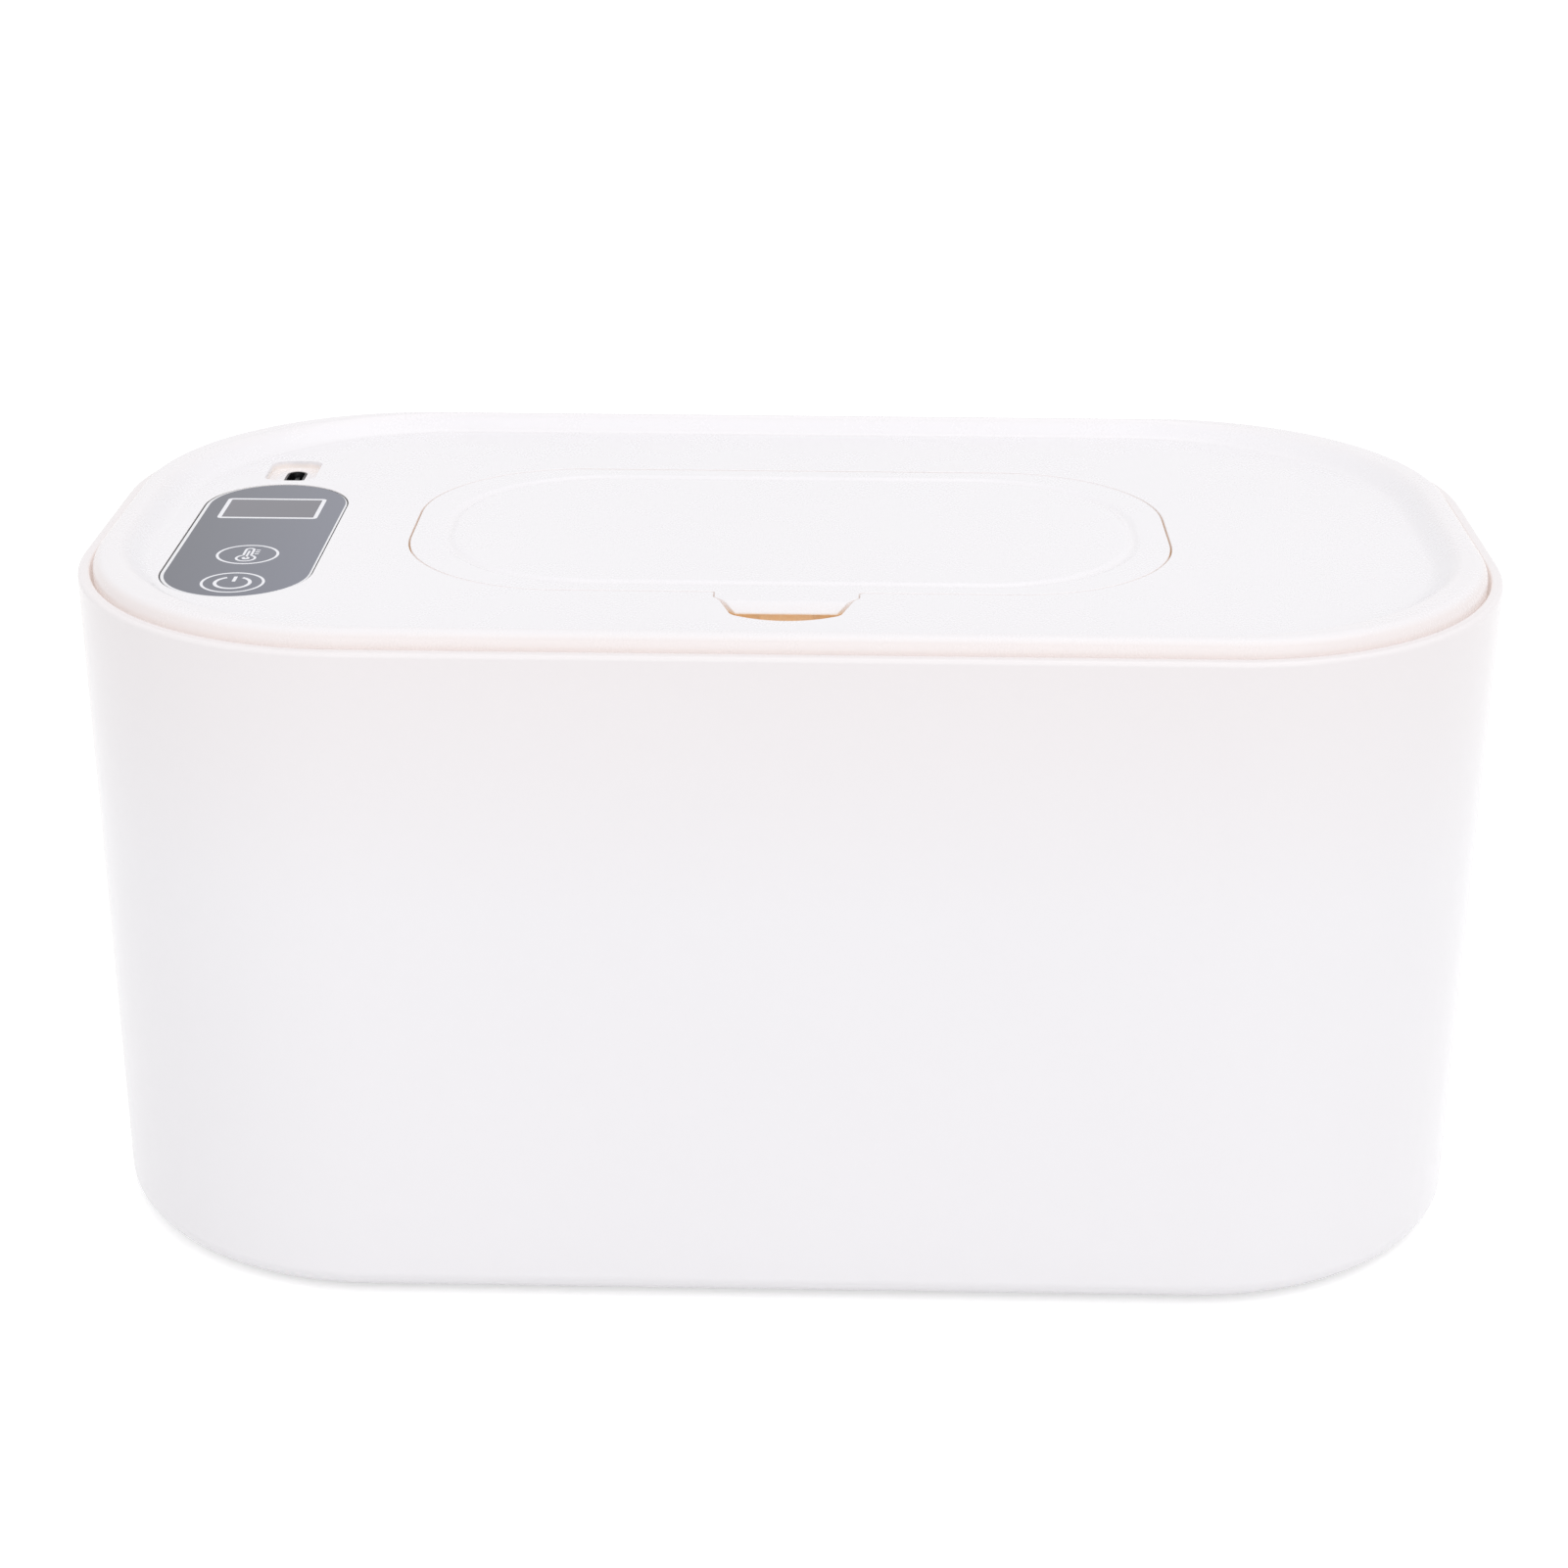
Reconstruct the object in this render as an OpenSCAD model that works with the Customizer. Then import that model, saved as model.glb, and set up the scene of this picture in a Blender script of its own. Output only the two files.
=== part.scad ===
// Baby wipe warmer: a rounded case, a lift-off lid that holds the heater and
// the controls, and a dispensing flap on a concealed gooseneck hinge.
// Millimetres. +Z is up, the front faces -Y, and the origin is the middle of
// the footprint on the surface that the feet stand on.

/* [Case] */
// Width of the case across the rim
case_w = 215; // [205:1:235]
// Depth of the case across the rim
case_d = 120; // [116:1:136]
// Height of the rim above the surface that the case stands on
rim_h = 104.4; // [85:0.2:130]
// Corner radius of the case in plan, at the rim
corner_r = 45; // [42:0.5:48]
// How far each wall leans in between the rim and the base
draft = 0.4; // [0.2:0.1:1.2]
// Radius of the rounded edge round the base
base_r = 3.3; // [2:0.1:5]
// Thickness of the case wall
wall = 2.6; // [2:0.1:3.2]
// Thickness of the case floor
base_t = 2.6; // [2:0.1:4]
// Thickness of the rim that stands round the lid
rim_t = 1.8; // [1.4:0.1:2.2]
// Rounding along the top edge of the rim
rim_edge_r = 0.7; // [0.4:0.1:0.9]
// Height of the rim above the ledge that carries the lid
rim_depth = 7; // [5.5:0.1:9]
// Width of the ledge that carries the lid
ledge_w = 2.6; // [2.2:0.1:3.2]
// Height of the upright face of the ledge
ledge_t = 4; // [3.6:0.1:6]

/* [Feet] */
// Radius of a rubber foot
foot_r = 6; // [4:0.5:9]
// Height of a foot below the case floor
foot_h = 1; // [0.6:0.1:2.5]
// Depth of the pocket that a foot is glued into
foot_seat = 0.6; // [0.4:0.1:1.2]
// Distance from a side of the case to the centre of a foot
foot_in_x = 25.5; // [22:0.5:40]
// Distance from the front or back to the centre of a foot
foot_in_y = 24; // [20:0.5:34]

/* [Lid] */
// Gap all round between the rim and the lid
lid_gap = 0.5; // [0.3:0.05:0.7]
// Height of the lid's crest above the rim
crest_h = 2.3; // [2:0.1:4]
// Radius of the lid's outer top edge
lid_edge_r = 2.3; // [1.2:0.1:2.6]
// Depth of the sunk panel below the crest
panel_drop = 2.8; // [2:0.1:3.4]
// Width of the slope at the two ends of the lid
slope_x = 4.4; // [3.6:0.1:4.8]
// Width of the slope along the front and back of the lid
slope_y = 2; // [1.6:0.1:2.2]
// Distance from a side of the case to the foot of the slope
panel_in_x = 10.6; // [9.5:0.1:11.4]
// Distance from the front or back to the foot of the slope
panel_in_y = 7; // [6.7:0.1:8]
// Corner radius of the sunk panel
panel_r = 42; // [38:0.5:44]
// Thickness of the lid's top
cover_t = 2; // [1.8:0.1:2.4]
// Thickness of the skirt that stands on the ledge
skirt_t = 2; // [1.6:0.1:2.4]

/* [Lid liner] */
// Depth of the liner below the ledge
liner_drop = 12.9; // [12.5:0.1:18]
// Thickness of the liner wall
liner_wall = 1.8; // [1.4:0.1:2.2]
// Thickness of the liner floor
liner_floor = 2; // [1.8:0.1:2.6]
// Radius of the rounded edge round the liner floor
liner_edge_r = 3; // [2:0.1:4]
// Height of the silicone gasket round the liner
gasket_h = 3; // [2:0.1:3.4]
// Radius of a screw boss
boss_r = 3.4; // [2.8:0.1:3.8]
// Radius of the shank of a liner screw
screw_r = 1.2; // [1:0.1:1.4]
// Radius of the head of a liner screw
head_r = 2.6; // [2.2:0.1:2.9]
// Height of the head of a liner screw
head_h = 1.1; // [0.8:0.1:1.3]
// Distance of the screws at the front and back from the middle of the lid
screw_side = 45; // [42:0.5:50]

/* [Flap] */
// Width of the flap
flap_w = 118.4; // [112:0.4:122]
// Depth of the flap without its tab
flap_d = 62; // [59:0.5:64]
// Corner radius of the flap
flap_r = 24.5; // [20:0.5:27]
// Distance of the flap's centre behind the middle of the lid
flap_y = 0.4; // [-0.8:0.1:1.2]
// Gap all round the flap
seam = 0.5; // [0.35:0.05:0.7]
// Thickness of the flap's top
flap_t = 2; // [1.8:0.1:2.4]
// Height of the flap's outer edge, which is set back below that
flap_land = 0.6; // [0.4:0.1:0.7]
// Height of the skirt under the flap
flap_skirt_h = 2.4; // [2:0.1:3]
// Thickness of the skirt under the flap
flap_skirt_t = 1.6; // [1.2:0.1:2]
// Width of the ring that the groove follows
groove_w = 107.6; // [100:0.4:109]
// Depth of the ring that the groove follows
groove_d = 54.4; // [50:0.4:56]
// Corner radius of the ring that the groove follows
groove_r = 24; // [20:0.5:25]
// Width of the groove
groove_wide = 2.5; // [1.6:0.1:3]
// Depth of the groove
groove_deep = 0.5; // [0.3:0.05:0.8]
// Depth of the well below the panel
well_depth = 8.8; // [8.2:0.1:10.4]
// Thickness of the walls of the well
well_t = 1.6; // [1.2:0.1:2]

/* [Tab and finger recess] */
// Radius of the finger recess
recess_r = 10.8; // [9:0.1:11.2]
// Distance from the flap's front edge to the centre of the recess
recess_out = 1.4; // [1.2:0.1:2.2]
// Distance that the tab reaches past the centre of the recess
tab_reach = 4.2; // [3.6:0.1:5]
// Width of the tab at its front
tab_w = 14.6; // [13:0.2:16]
// Thickness of the tab
tab_t = 1.5; // [1.3:0.1:1.9]
// Length of the slope along the front of the tab
tab_slope = 1.9; // [1.2:0.1:2.4]
// Gap between the tab and the side of the recess
tab_gap = 0.3; // [0.2:0.05:0.6]

/* [Hinge] */
// Radius of a hinge pin
pin_r = 0.9; // [0.75:0.05:1.1]
// Running clearance between a pin and the bore of its arm
pin_clear = 0.05; // [0.02:0.01:0.09]
// Radius of the eye at the end of a hinge arm
eye_r = 2; // [1.8:0.1:2.3]
// Distance from the flap's rear edge back to the hinge axis
axis_back = 6.5; // [6.1:0.1:7.5]
// Angle that the flap opens through
open_angle = 105; // [95:1:107]
// Distance of each hinge arm from the middle of the flap
arm_x = 28; // [24:0.5:32]
// Width of a hinge arm along the pin
arm_w = 4; // [3:0.1:5]
// Thickness of a hinge arm
arm_t = 1.8; // [1.5:0.1:2]
// Gap between each side of an arm and its pocket
arm_gap = 0.6; // [0.3:0.1:1]
// Thickness of the pocket walls that hold the pins
cheek_t = 2; // [1.6:0.1:2.6]

/* [Throat] */
// Width of the dispensing throat
throat_w = 92; // [84:1:94]
// Depth of the dispensing throat
throat_d = 40; // [36:0.5:41]
// Corner radius of the throat
throat_r = 18; // [14:0.5:19]
// Distance of the throat's centre in front of the middle of the lid
throat_fwd = 1; // [0.5:0.1:1.4]
// Thickness of the throat wall
throat_t = 1.6; // [1.2:0.1:1.9]
// Height of the silicone seal under the flap
seal_h = 1.1; // [0.8:0.1:1.3]
// Gap between the seal and the lip of the throat
seal_gap = 0.3; // [0.2:0.05:0.5]

/* [Controls] */
// Distance from the left side of the case to the middle of the control film
film_in = 24.8; // [23:0.2:27]
// Width of the control film
film_w = 22.6; // [20:0.2:23]
// Distance from the front of the case to the front end of the film
film_front_in = 25; // [24.5:0.1:26]
// Distance from the back of the case to the rear end of the film
film_rear_in = 39; // [38.5:0.1:41]
// Thickness of the control film
film_t = 0.5; // [0.3:0.05:0.8]
// Width of the display window
display_w = 15.6; // [14:0.2:16]
// Depth of the display window
display_d = 10.5; // [9:0.2:11]
// Distance from the rear end of the film to the display's centre
display_in = 12.9; // [12:0.1:13.5]
// Distance from the front end of the film to the middle touch key
key_one_in = 19.7; // [19:0.1:20.5]
// Distance from the front end of the film to the front touch key
key_two_in = 6.5; // [6:0.1:7.5]
// Outer radius of a touch spring
spring_r = 2.6; // [2:0.1:3]
// Width of the control board
board_w = 22.4; // [20:0.2:23]
// Distance from the front or back of the case to an end of the board
board_in = 26; // [25.5:0.1:26.2]
// Thickness of the control board
board_t = 1.6; // [1:0.1:2]
// Height of the parts room between the lid's top and the board
board_room = 6.2; // [5.6:0.1:7.4]
// Radius of the shank of a board screw
board_screw_r = 0.8; // [0.6:0.05:1]

/* [Power inlet] */
// Distance from the back of the case to the inlet's centre
port_in = 30.9; // [30.6:0.1:31.3]
// Distance of the inlet's centre to the left of the film's centre
port_left = 0.5; // [0:0.1:1]
// Length of the inlet's metal shell
port_l = 8.94; // [8.5:0.02:9.3]
// Width of the inlet's metal shell
port_w = 3.2; // [3:0.02:3.6]
// Thickness of the inlet's metal shell
port_t = 0.3; // [0.2:0.05:0.4]
// Width of the pocket round the inlet
pocket_w = 8.2; // [7:0.1:9]
// Length of the pocket round the inlet
pocket_l = 11.4; // [10.6:0.1:11.8]
// Depth of the pocket round the inlet
pocket_deep = 1.6; // [1:0.1:1.9]

/* [Heater] */
// Distance that the heater plate reaches past each side of the throat
heater_out_x = 18; // [15:0.5:20]
// Distance that the heater plate reaches past the front and back of the throat
heater_out_y = 14; // [12:0.5:16]
// Thickness of the heater plate
plate_t = 1; // [0.6:0.1:1.2]
// Thickness of the heater film
heat_film_t = 0.3; // [0.2:0.05:0.4]
// Thickness of the insulation sheet
felt_t = 0.7; // [0.4:0.1:0.9]
// Radius of a heater lead
lead_r = 0.7; // [0.5:0.05:0.8]

/* [Hidden] */
$fn = 48;

// Plan of the case and of the lid, which share their corner centres
half_w = case_w / 2;
half_d = case_d / 2;
over = 1;
lid_in = rim_t + lid_gap;
skirt_in = lid_in + skirt_t;
ledge_in = rim_t + ledge_w;

// Levels, from the surface that the feet stand on
floor_z = foot_h + base_t;
ledge_z = rim_h - rim_depth;
crest_z = rim_h + crest_h;
panel_z = crest_z - panel_drop;
ceiling_z = panel_z - cover_t;
liner_z = ledge_z - liner_drop;
liner_top = liner_z + liner_floor;
well_z = panel_z - well_depth;

// Sunk panel
panel_a = half_w - panel_in_x;
panel_b = half_d - panel_in_y;
slope_r = 1.3;
slope_steps = [[-0.1, 0], [0.3, 0.17], [0.62, 0.5], [1, 1]];
crest_core = 1.4;

// Liner, measured inwards from the case outline
groove_side = 0.3;
liner_in = ledge_in + 0.3 + 1.5;
liner_inner_in = liner_in + liner_wall;
bead_in = ledge_in + 0.5;
bead_h = 1.4;
gasket_z = ledge_z - gasket_h - 0.1;

// Flap and well
flap_a = flap_w / 2;
flap_b = flap_d / 2;
flap_front = flap_y - flap_b;
flap_rear = flap_y + flap_b;
skirt_gap = 1;
liner_t = 1.4;
liner_gap = 0.2;
flap_under = panel_z - flap_t;
flap_liner_z = flap_under - liner_t;
stake_r = 1;
stake_x = flap_a - 19.2;
stake_ys = [flap_front + 5.6, flap_rear - 8.4];
lip_z = flap_liner_z - seal_h - seal_gap;
throat_y = -throat_fwd;
seal_over = 0.8;
groove_cut_r = (pow(groove_wide / 2, 2) + pow(groove_deep, 2)) / (2 * groove_deep);

// Finger recess
recess_y = flap_front - recess_out;
tab_back = 2 * (recess_r - tab_gap);
tab_nose = 0.2;
tab_under = panel_z - tab_t;
sill_z = tab_under - 0.2;
catch_r = 0.35;
catch_w = 8;
catch_t = 0.9;
catch_pass = 0.15;
catch_y = recess_y - 2 * catch_r - catch_pass;
sill_catch_z = sill_z - 0.7;
hook_z = sill_catch_z - 0.8;

// Hinge: the arms reach down and round the panel's rear edge. The edge as the
// open flap sees it gives the arms their depth.
hinge_clear = 0.3;
axis_down = cover_t + hinge_clear + eye_r;
axis_y = flap_rear + axis_back;
axis_z = panel_z - axis_down;
edge_y = seam - axis_back;
roll_r = norm([edge_y, axis_down]) + hinge_clear;
edge_open_z = edge_y * sin(open_angle) + axis_down * cos(open_angle);
arm_low = edge_open_z - hinge_clear - arm_t / 2;
arm_back = eye_r - arm_t / 2;
arm_front = 0.2 - (axis_back + skirt_gap + flap_skirt_t + arm_t / 2);
arm_sweep = norm([arm_front, arm_low]) + arm_t / 2;
pocket_clear = 0.4;
pocket_y0 = axis_y - arm_sweep - pocket_clear;
pocket_y1 = axis_y + eye_r + 2 * hinge_clear;
pocket_z = axis_z - norm([arm_back, arm_low]) - arm_t / 2 - pocket_clear;
pocket_half = arm_w / 2 + arm_gap;
pocket_floor = 1.2;

// Liner screws: one in each corner, two along the front and two along the back
screw_reach = corner_r - liner_inner_in - boss_r - 0.3;
corner_x = half_w - corner_r;
corner_y = half_d - corner_r;
screw_spots = concat(
    [for (sx = [-1, 1], sy = [-1, 1])
        [sx * (corner_x + screw_reach * cos(45)), sy * (corner_y + screw_reach * sin(45))]],
    [for (sx = [-1, 1], sy = [-1, 1]) [sx * screw_side, sy * (corner_y + screw_reach)]]);
pilot_clear = 0.05;
screw_l = 11;

// Controls
film_x = film_in - half_w;
film_l = case_d - film_front_in - film_rear_in;
film_y = (film_rear_in - film_front_in) / -2;
film_front = film_front_in - half_d;
film_rear = half_d - film_rear_in;
key_ys = [film_front + key_one_in, film_front + key_two_in];
film_gap = 0.15;
display_y = film_rear - display_in;
display_gap = 0.3;
board_z = ceiling_z - board_room;
board_under = board_z - board_t;
board_boss_r = 2.2;
board_boss_x = board_w / 2 - 2.9;
board_spots = [for (sx = [-1, 1], y = [(key_ys[0] + key_ys[1]) / 2, display_y + display_d / 2 + 5.5])
    [film_x + sx * board_boss_x, y]];
port_x = film_x - port_left;
port_y = half_d - port_in;
board_l = case_d - 2 * board_in;
port_top = panel_z - pocket_deep;
pocket_r = 2.4;

// Heater stack on the liner floor
plate_r = 24;
collar_gap = 0.3;
collar_t = 1.4;
collar_h = 2;
plate_gap = 0.5;
heat_z = liner_top + plate_t;
felt_z = heat_z + heat_film_t;
heater_w = throat_w + 2 * heater_out_x;
heater_d = throat_d + 2 * heater_out_y;
pad_x = -(heater_w / 2 - 6);
fuse_y = 9;
fuse_l = 8;
fuse_r = 1.1;
bead_r = 0.9;
window_x = 15;
window_y = 17;
lead_y = -11;
lead_step = 2.4;
sensor_y = -2;
sensor_l = 4;
plug_h = 4;

// Rounded rectangle with half sizes a and b and corner radius r
module plan(a, b, r) {
    square([2 * (a - r), 2 * b], center = true);
    square([2 * a, 2 * (b - r)], center = true);
    for (sx = [-1, 1], sy = [-1, 1])
        translate([sx * (a - r), sy * (b - r)])
            circle(r);
}

// Upright block of that outline between two levels
module slab(a, b, r, z0, z1) {
    translate([0, 0, z0])
        linear_extrude(z1 - z0)
            plan(a, b, r);
}

// Block whose outline is the case outline moved inwards
module inset_slab(in, z0, z1) {
    slab(half_w - in, half_d - in, corner_r - in, z0, z1);
}

// Carries a section round a rounded rectangle. The section's x is measured
// outwards from the corner centres and its y is height.
module swept(a, b, r) {
    for (q = [0:3]) {
        out = q % 2 == 0 ? a - r : b - r;
        along = q % 2 == 0 ? b - r : a - r;
        rotate([0, 0, 90 * q])
            translate([out, along, 0]) {
                rotate_extrude(angle = 90)
                    children();
                rotate([90, 0, 0])
                    linear_extrude(2 * along)
                        children();
            }
    }
}

// The same for a section that starts at x = 0, with its middle filled
module swept_block(a, b, r, z0, z1) {
    swept(a, b, r)
        children();
    translate([r - a, r - b, z0])
        cube([2 * (a - r), 2 * (b - r), z1 - z0]);
}

// What comes off a square outer corner at (x, z) to round it
module rounding(x, z, r) {
    translate([x - r, z - r])
        difference() {
            square(2 * r);
            circle(r);
        }
}

// Straight bar with round ends between two points of a plane
module bar(p, q, t) {
    d = q - p;
    translate(p)
        rotate(atan2(d[1], d[0]))
            translate([0, -t / 2])
                square([norm(d), t]);
    for (e = [p, q])
        translate(e)
            circle(t / 2);
}

// Round wire through a list of points, with a ball at each bend
module wire(points, r) {
    for (i = [0:len(points) - 2]) {
        d = points[i + 1] - points[i];
        translate(points[i])
            rotate([0, acos(d[2] / norm(d)), atan2(d[1], d[0])])
                cylinder(h = norm(d), r = r);
        if (i > 0)
            translate(points[i])
                sphere(1.1 * r);
    }
}

// Lean of the case wall at a level
function lean(z) = draft * (rim_h - z) / (rim_h - foot_h);

module case_outside_section() {
    foot_x = corner_r - draft;
    difference() {
        union() {
            polygon([[0, foot_h], [foot_x - base_r, foot_h], [foot_x, foot_h + base_r],
                     [corner_r, rim_h], [0, rim_h]]);
            translate([foot_x - base_r, foot_h + base_r])
                circle(base_r);
        }
        rounding(corner_r, rim_h, rim_edge_r);
    }
}

module case_inside_section() {
    inner_r = base_r - 0.8;
    low_x = corner_r - draft - wall;
    top_x = corner_r - wall - lean(ledge_z);
    ledge_x = corner_r - ledge_in;
    under_z = ledge_z - ledge_t - (top_x - ledge_x);
    polygon([[0, floor_z], [low_x - inner_r, floor_z], [low_x, floor_z + inner_r],
             [top_x, under_z], [ledge_x, ledge_z - ledge_t], [ledge_x, ledge_z],
             [corner_r - rim_t, ledge_z], [corner_r - rim_t, rim_h + over], [0, rim_h + over]]);
    translate([low_x - inner_r, floor_z + inner_r])
        circle(inner_r);
}

module foot_places() {
    for (sx = [-1, 1], sy = [-1, 1])
        translate([sx * (half_w - foot_in_x), sy * (half_d - foot_in_y), 0])
            children();
}

module case_shell() {
    color([0.96, 0.95, 0.94])
        difference() {
            swept_block(half_w, half_d, corner_r, foot_h, rim_h)
                case_outside_section();
            swept_block(half_w, half_d, corner_r, floor_z, rim_h + over)
                case_inside_section();
            foot_places()
                cylinder(h = foot_h + foot_seat, r = foot_r + 0.1);
        }
}

module rubber_feet() {
    edge = foot_h / 2;
    color([0.82, 0.82, 0.82])
        foot_places()
            rotate_extrude()
                polygon([[0, 0], [foot_r - edge, 0], [foot_r, edge],
                         [foot_r, foot_h + foot_seat], [0, foot_h + foot_seat]]);
}

module lid_outside_section() {
    difference() {
        translate([0, ledge_z])
            square([corner_r - lid_in, crest_z - ledge_z]);
        rounding(corner_r - lid_in, crest_z, lid_edge_r);
    }
}

// Outline of the panel's slope: k is how far out, from the foot to the crest
module slope_layer(k, z) {
    translate([0, 0, z])
        linear_extrude(0.001)
            plan(panel_a + k * slope_x, panel_b + k * slope_y, panel_r + k * slope_r, $fn = 96);
}

// Air above the sunk panel. Its slope is wide at the ends of the lid, narrow
// at the front and back, and eases into the panel.
module panel_air() {
    for (i = [0:2])
        hull()
            for (step = [slope_steps[i], slope_steps[i + 1]])
                slope_layer(step[0], panel_z + step[1] * panel_drop);
    slab(panel_a + slope_x - 0.2, panel_b + slope_y - 0.2, panel_r + slope_r - 0.2, crest_z - 0.01, crest_z + over);
}

module throat(grow, z0, z1) {
    translate([0, throat_y, 0])
        slab(throat_w / 2 + grow, throat_d / 2 + grow, throat_r + grow, z0, z1);
}

module flap_slab(grow, z0, z1) {
    translate([0, flap_y, 0])
        slab(flap_a + grow, flap_b + grow, flap_r + grow, z0, z1);
}

// Outside of the finger recess, and with grow = 0 its air
module recess(grow, z0, z1) {
    intersection() {
        translate([0, recess_y, z0])
            cylinder(h = z1 - z0, r = recess_r + grow);
        translate([-recess_r - grow, recess_y - recess_r - grow, z0])
            cube([2 * (recess_r + grow), recess_r + 2 * grow, z1 - z0]);
    }
}

module hinge_places() {
    for (sx = [-1, 1])
        translate([sx * arm_x, 0, 0])
            children();
}

module pocket_block(side, end, low, top) {
    hinge_places()
        translate([-pocket_half - side, pocket_y0 - end, low])
            cube([2 * (pocket_half + side), pocket_y1 - pocket_y0 + 2 * end, top - low]);
}

module film_plan(grow) {
    translate([film_x, film_y])
        plan(film_w / 2 + grow, film_l / 2 + grow, film_w / 2 + grow - 0.01);
}

module lid_walls() {
    difference() {
        swept_block(half_w - lid_in, half_d - lid_in, corner_r - lid_in, ledge_z, crest_z)
            lid_outside_section();
        inset_slab(skirt_in, ledge_z - over, ceiling_z);
    }
    flap_slab(seam + well_t, well_z - well_t, ceiling_z);
    throat(throat_t, liner_z, well_z);
    recess(well_t, well_z - well_t, ceiling_z);
    pocket_block(cheek_t, pocket_floor, pocket_z - pocket_floor, ceiling_z);
    for (p = screw_spots)
        translate([p[0], p[1], liner_top])
            cylinder(h = ceiling_z - liner_top, r = boss_r);
    for (p = board_spots)
        translate([p[0], p[1], board_z])
            cylinder(h = ceiling_z - board_z, r = board_boss_r);
    translate([port_x, port_y, port_top - cover_t / 2])
        slab_at_port(1.5, ceiling_z - port_top + cover_t / 2);
}

module slab_at_port(grow, h) {
    slab(pocket_w / 2 + grow, pocket_l / 2 + grow, pocket_r + grow, 0, h);
}

// Lid top with everything that is cut into it
module lid_skin() {
    difference() {
        lid_walls();
        panel_air();
        difference() {
            inset_slab(skirt_in, ceiling_z - over, ceiling_z + crest_core);
            inset_slab(liner_in, ceiling_z - 2 * over, ceiling_z + crest_core + over);
        }
        difference() {
            flap_slab(seam, well_z, crest_z);
            throat(throat_t, well_z - over, lip_z);
        }
        throat(0, liner_z - over, crest_z);
        recess(0, well_z, crest_z);
        translate([-recess_r, recess_y, sill_z])
            cube([2 * recess_r, flap_front - recess_y, crest_z - sill_z]);
        pocket_block(0, 0, pocket_z, ceiling_z);
        hinge_places()
            translate([-pocket_half - cheek_t - over, axis_y, axis_z])
                rotate([0, 90, 0])
                    cylinder(h = 2 * (pocket_half + cheek_t + over), r = pin_r + 0.02);
        translate([0, 0, panel_z - film_t])
            linear_extrude(film_t + over)
                film_plan(film_gap);
        translate([film_x - display_w / 2 - display_gap, display_y - display_d / 2 - display_gap,
                   ceiling_z - over])
            cube([display_w + 2 * display_gap, display_d + 2 * display_gap, cover_t + 2 * over]);
        translate([port_x, port_y, port_top])
            slab_at_port(0, pocket_deep + over);
        translate([port_x, port_y, 0])
            slab(port_w / 2 + 0.1, port_l / 2 + 0.1, port_w / 2 + 0.09, board_z, port_top + over);
        for (p = screw_spots)
            translate([p[0], p[1], liner_top - over])
                cylinder(h = screw_l + over, r = screw_r + pilot_clear);
        for (p = board_spots)
            translate([p[0], p[1], board_z - over])
                cylinder(h = board_room + over - 1, r = board_screw_r + pilot_clear);
    }
}

module lid_cover() {
    color([0.96, 0.95, 0.94]) {
        lid_skin();
        catch_bead(recess_y, sill_catch_z);
    }
}

module lid_liner() {
    color([0.93, 0.93, 0.93])
        difference() {
            union() {
                difference() {
                    swept_block(half_w - liner_in, half_d - liner_in, corner_r - liner_in,
                                liner_z, ceiling_z)
                        liner_section();
                    inset_slab(liner_inner_in, liner_top, ceiling_z + over);
                }
                for (z = [gasket_z - bead_h - 0.1, ledge_z])
                    difference() {
                        inset_slab(bead_in, z, z + bead_h);
                        inset_slab(liner_in + liner_wall / 2, z - over, z + bead_h + over);
                    }
                throat(throat_t + collar_gap + collar_t, liner_z, liner_top + collar_h);
            }
            throat(throat_t + collar_gap, liner_z - over, liner_top + collar_h + over);
            for (p = screw_spots)
                translate([p[0], p[1], liner_z - over]) {
                    cylinder(h = liner_floor + 2 * over, r = screw_r + 0.3);
                    cylinder(h = head_h + over, r = head_r + 0.3);
                }
        }
}

module liner_section() {
    r = corner_r - liner_in;
    difference() {
        translate([0, liner_z])
            square([r, ceiling_z - liner_z]);
        translate([r - liner_edge_r, liner_z + liner_edge_r])
            mirror([0, 1])
                difference() {
                    square(2 * liner_edge_r);
                    circle(liner_edge_r);
                }
    }
}

// Silicone ring in the liner's groove, with two soft lips towards the ledge
module lid_gasket() {
    lip_r = gasket_h / 6;
    base_x = corner_r - liner_in;
    tip_x = corner_r - ledge_in - groove_side;
    color([0.88, 0.88, 0.88])
        swept(half_w - liner_in, half_d - liner_in, corner_r - liner_in) {
            translate([base_x, gasket_z])
                square([tip_x - lip_r - base_x, gasket_h]);
            for (k = [1, 3])
                translate([tip_x - lip_r, gasket_z + k * gasket_h / 4])
                    circle(lip_r);
        }
}

module tab() {
    back_y = recess_y;
    front_y = recess_y - tab_reach;
    intersection() {
        translate([0, 0, tab_under])
            linear_extrude(tab_t)
                polygon([[-tab_back / 2, flap_front + 2], [-tab_back / 2, back_y], [-tab_w / 2, front_y],
                         [tab_w / 2, front_y], [tab_back / 2, back_y], [tab_back / 2, flap_front + 2]]);
        translate([-tab_back, 0, 0])
            rotate([90, 0, 90])
                linear_extrude(2 * tab_back)
                    polygon([[flap_front + 2, tab_under], [front_y, tab_under],
                             [front_y, tab_under + tab_nose],
                             [front_y + tab_slope, panel_z], [flap_front + 2, panel_z]]);
    }
}

// Bead of the flap's catch, along x
module catch_bead(y, z) {
    translate([-catch_w / 2, y, z])
        rotate([0, 90, 0])
            cylinder(h = catch_w, r = catch_r);
}

// Gooseneck arm: from the pin eye down, forward below the panel and up
module hinge_arm() {
    low_back = [arm_back, arm_low];
    low_front = [arm_front, arm_low];
    translate([-arm_w / 2, axis_y, axis_z])
        rotate([90, 0, 90])
            linear_extrude(arm_w) {
                circle(eye_r);
                bar([0, 0], low_back, arm_t);
                bar(low_back, low_front, arm_t);
                bar(low_front, [arm_front, axis_down - flap_t], arm_t);
            }
}

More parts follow.
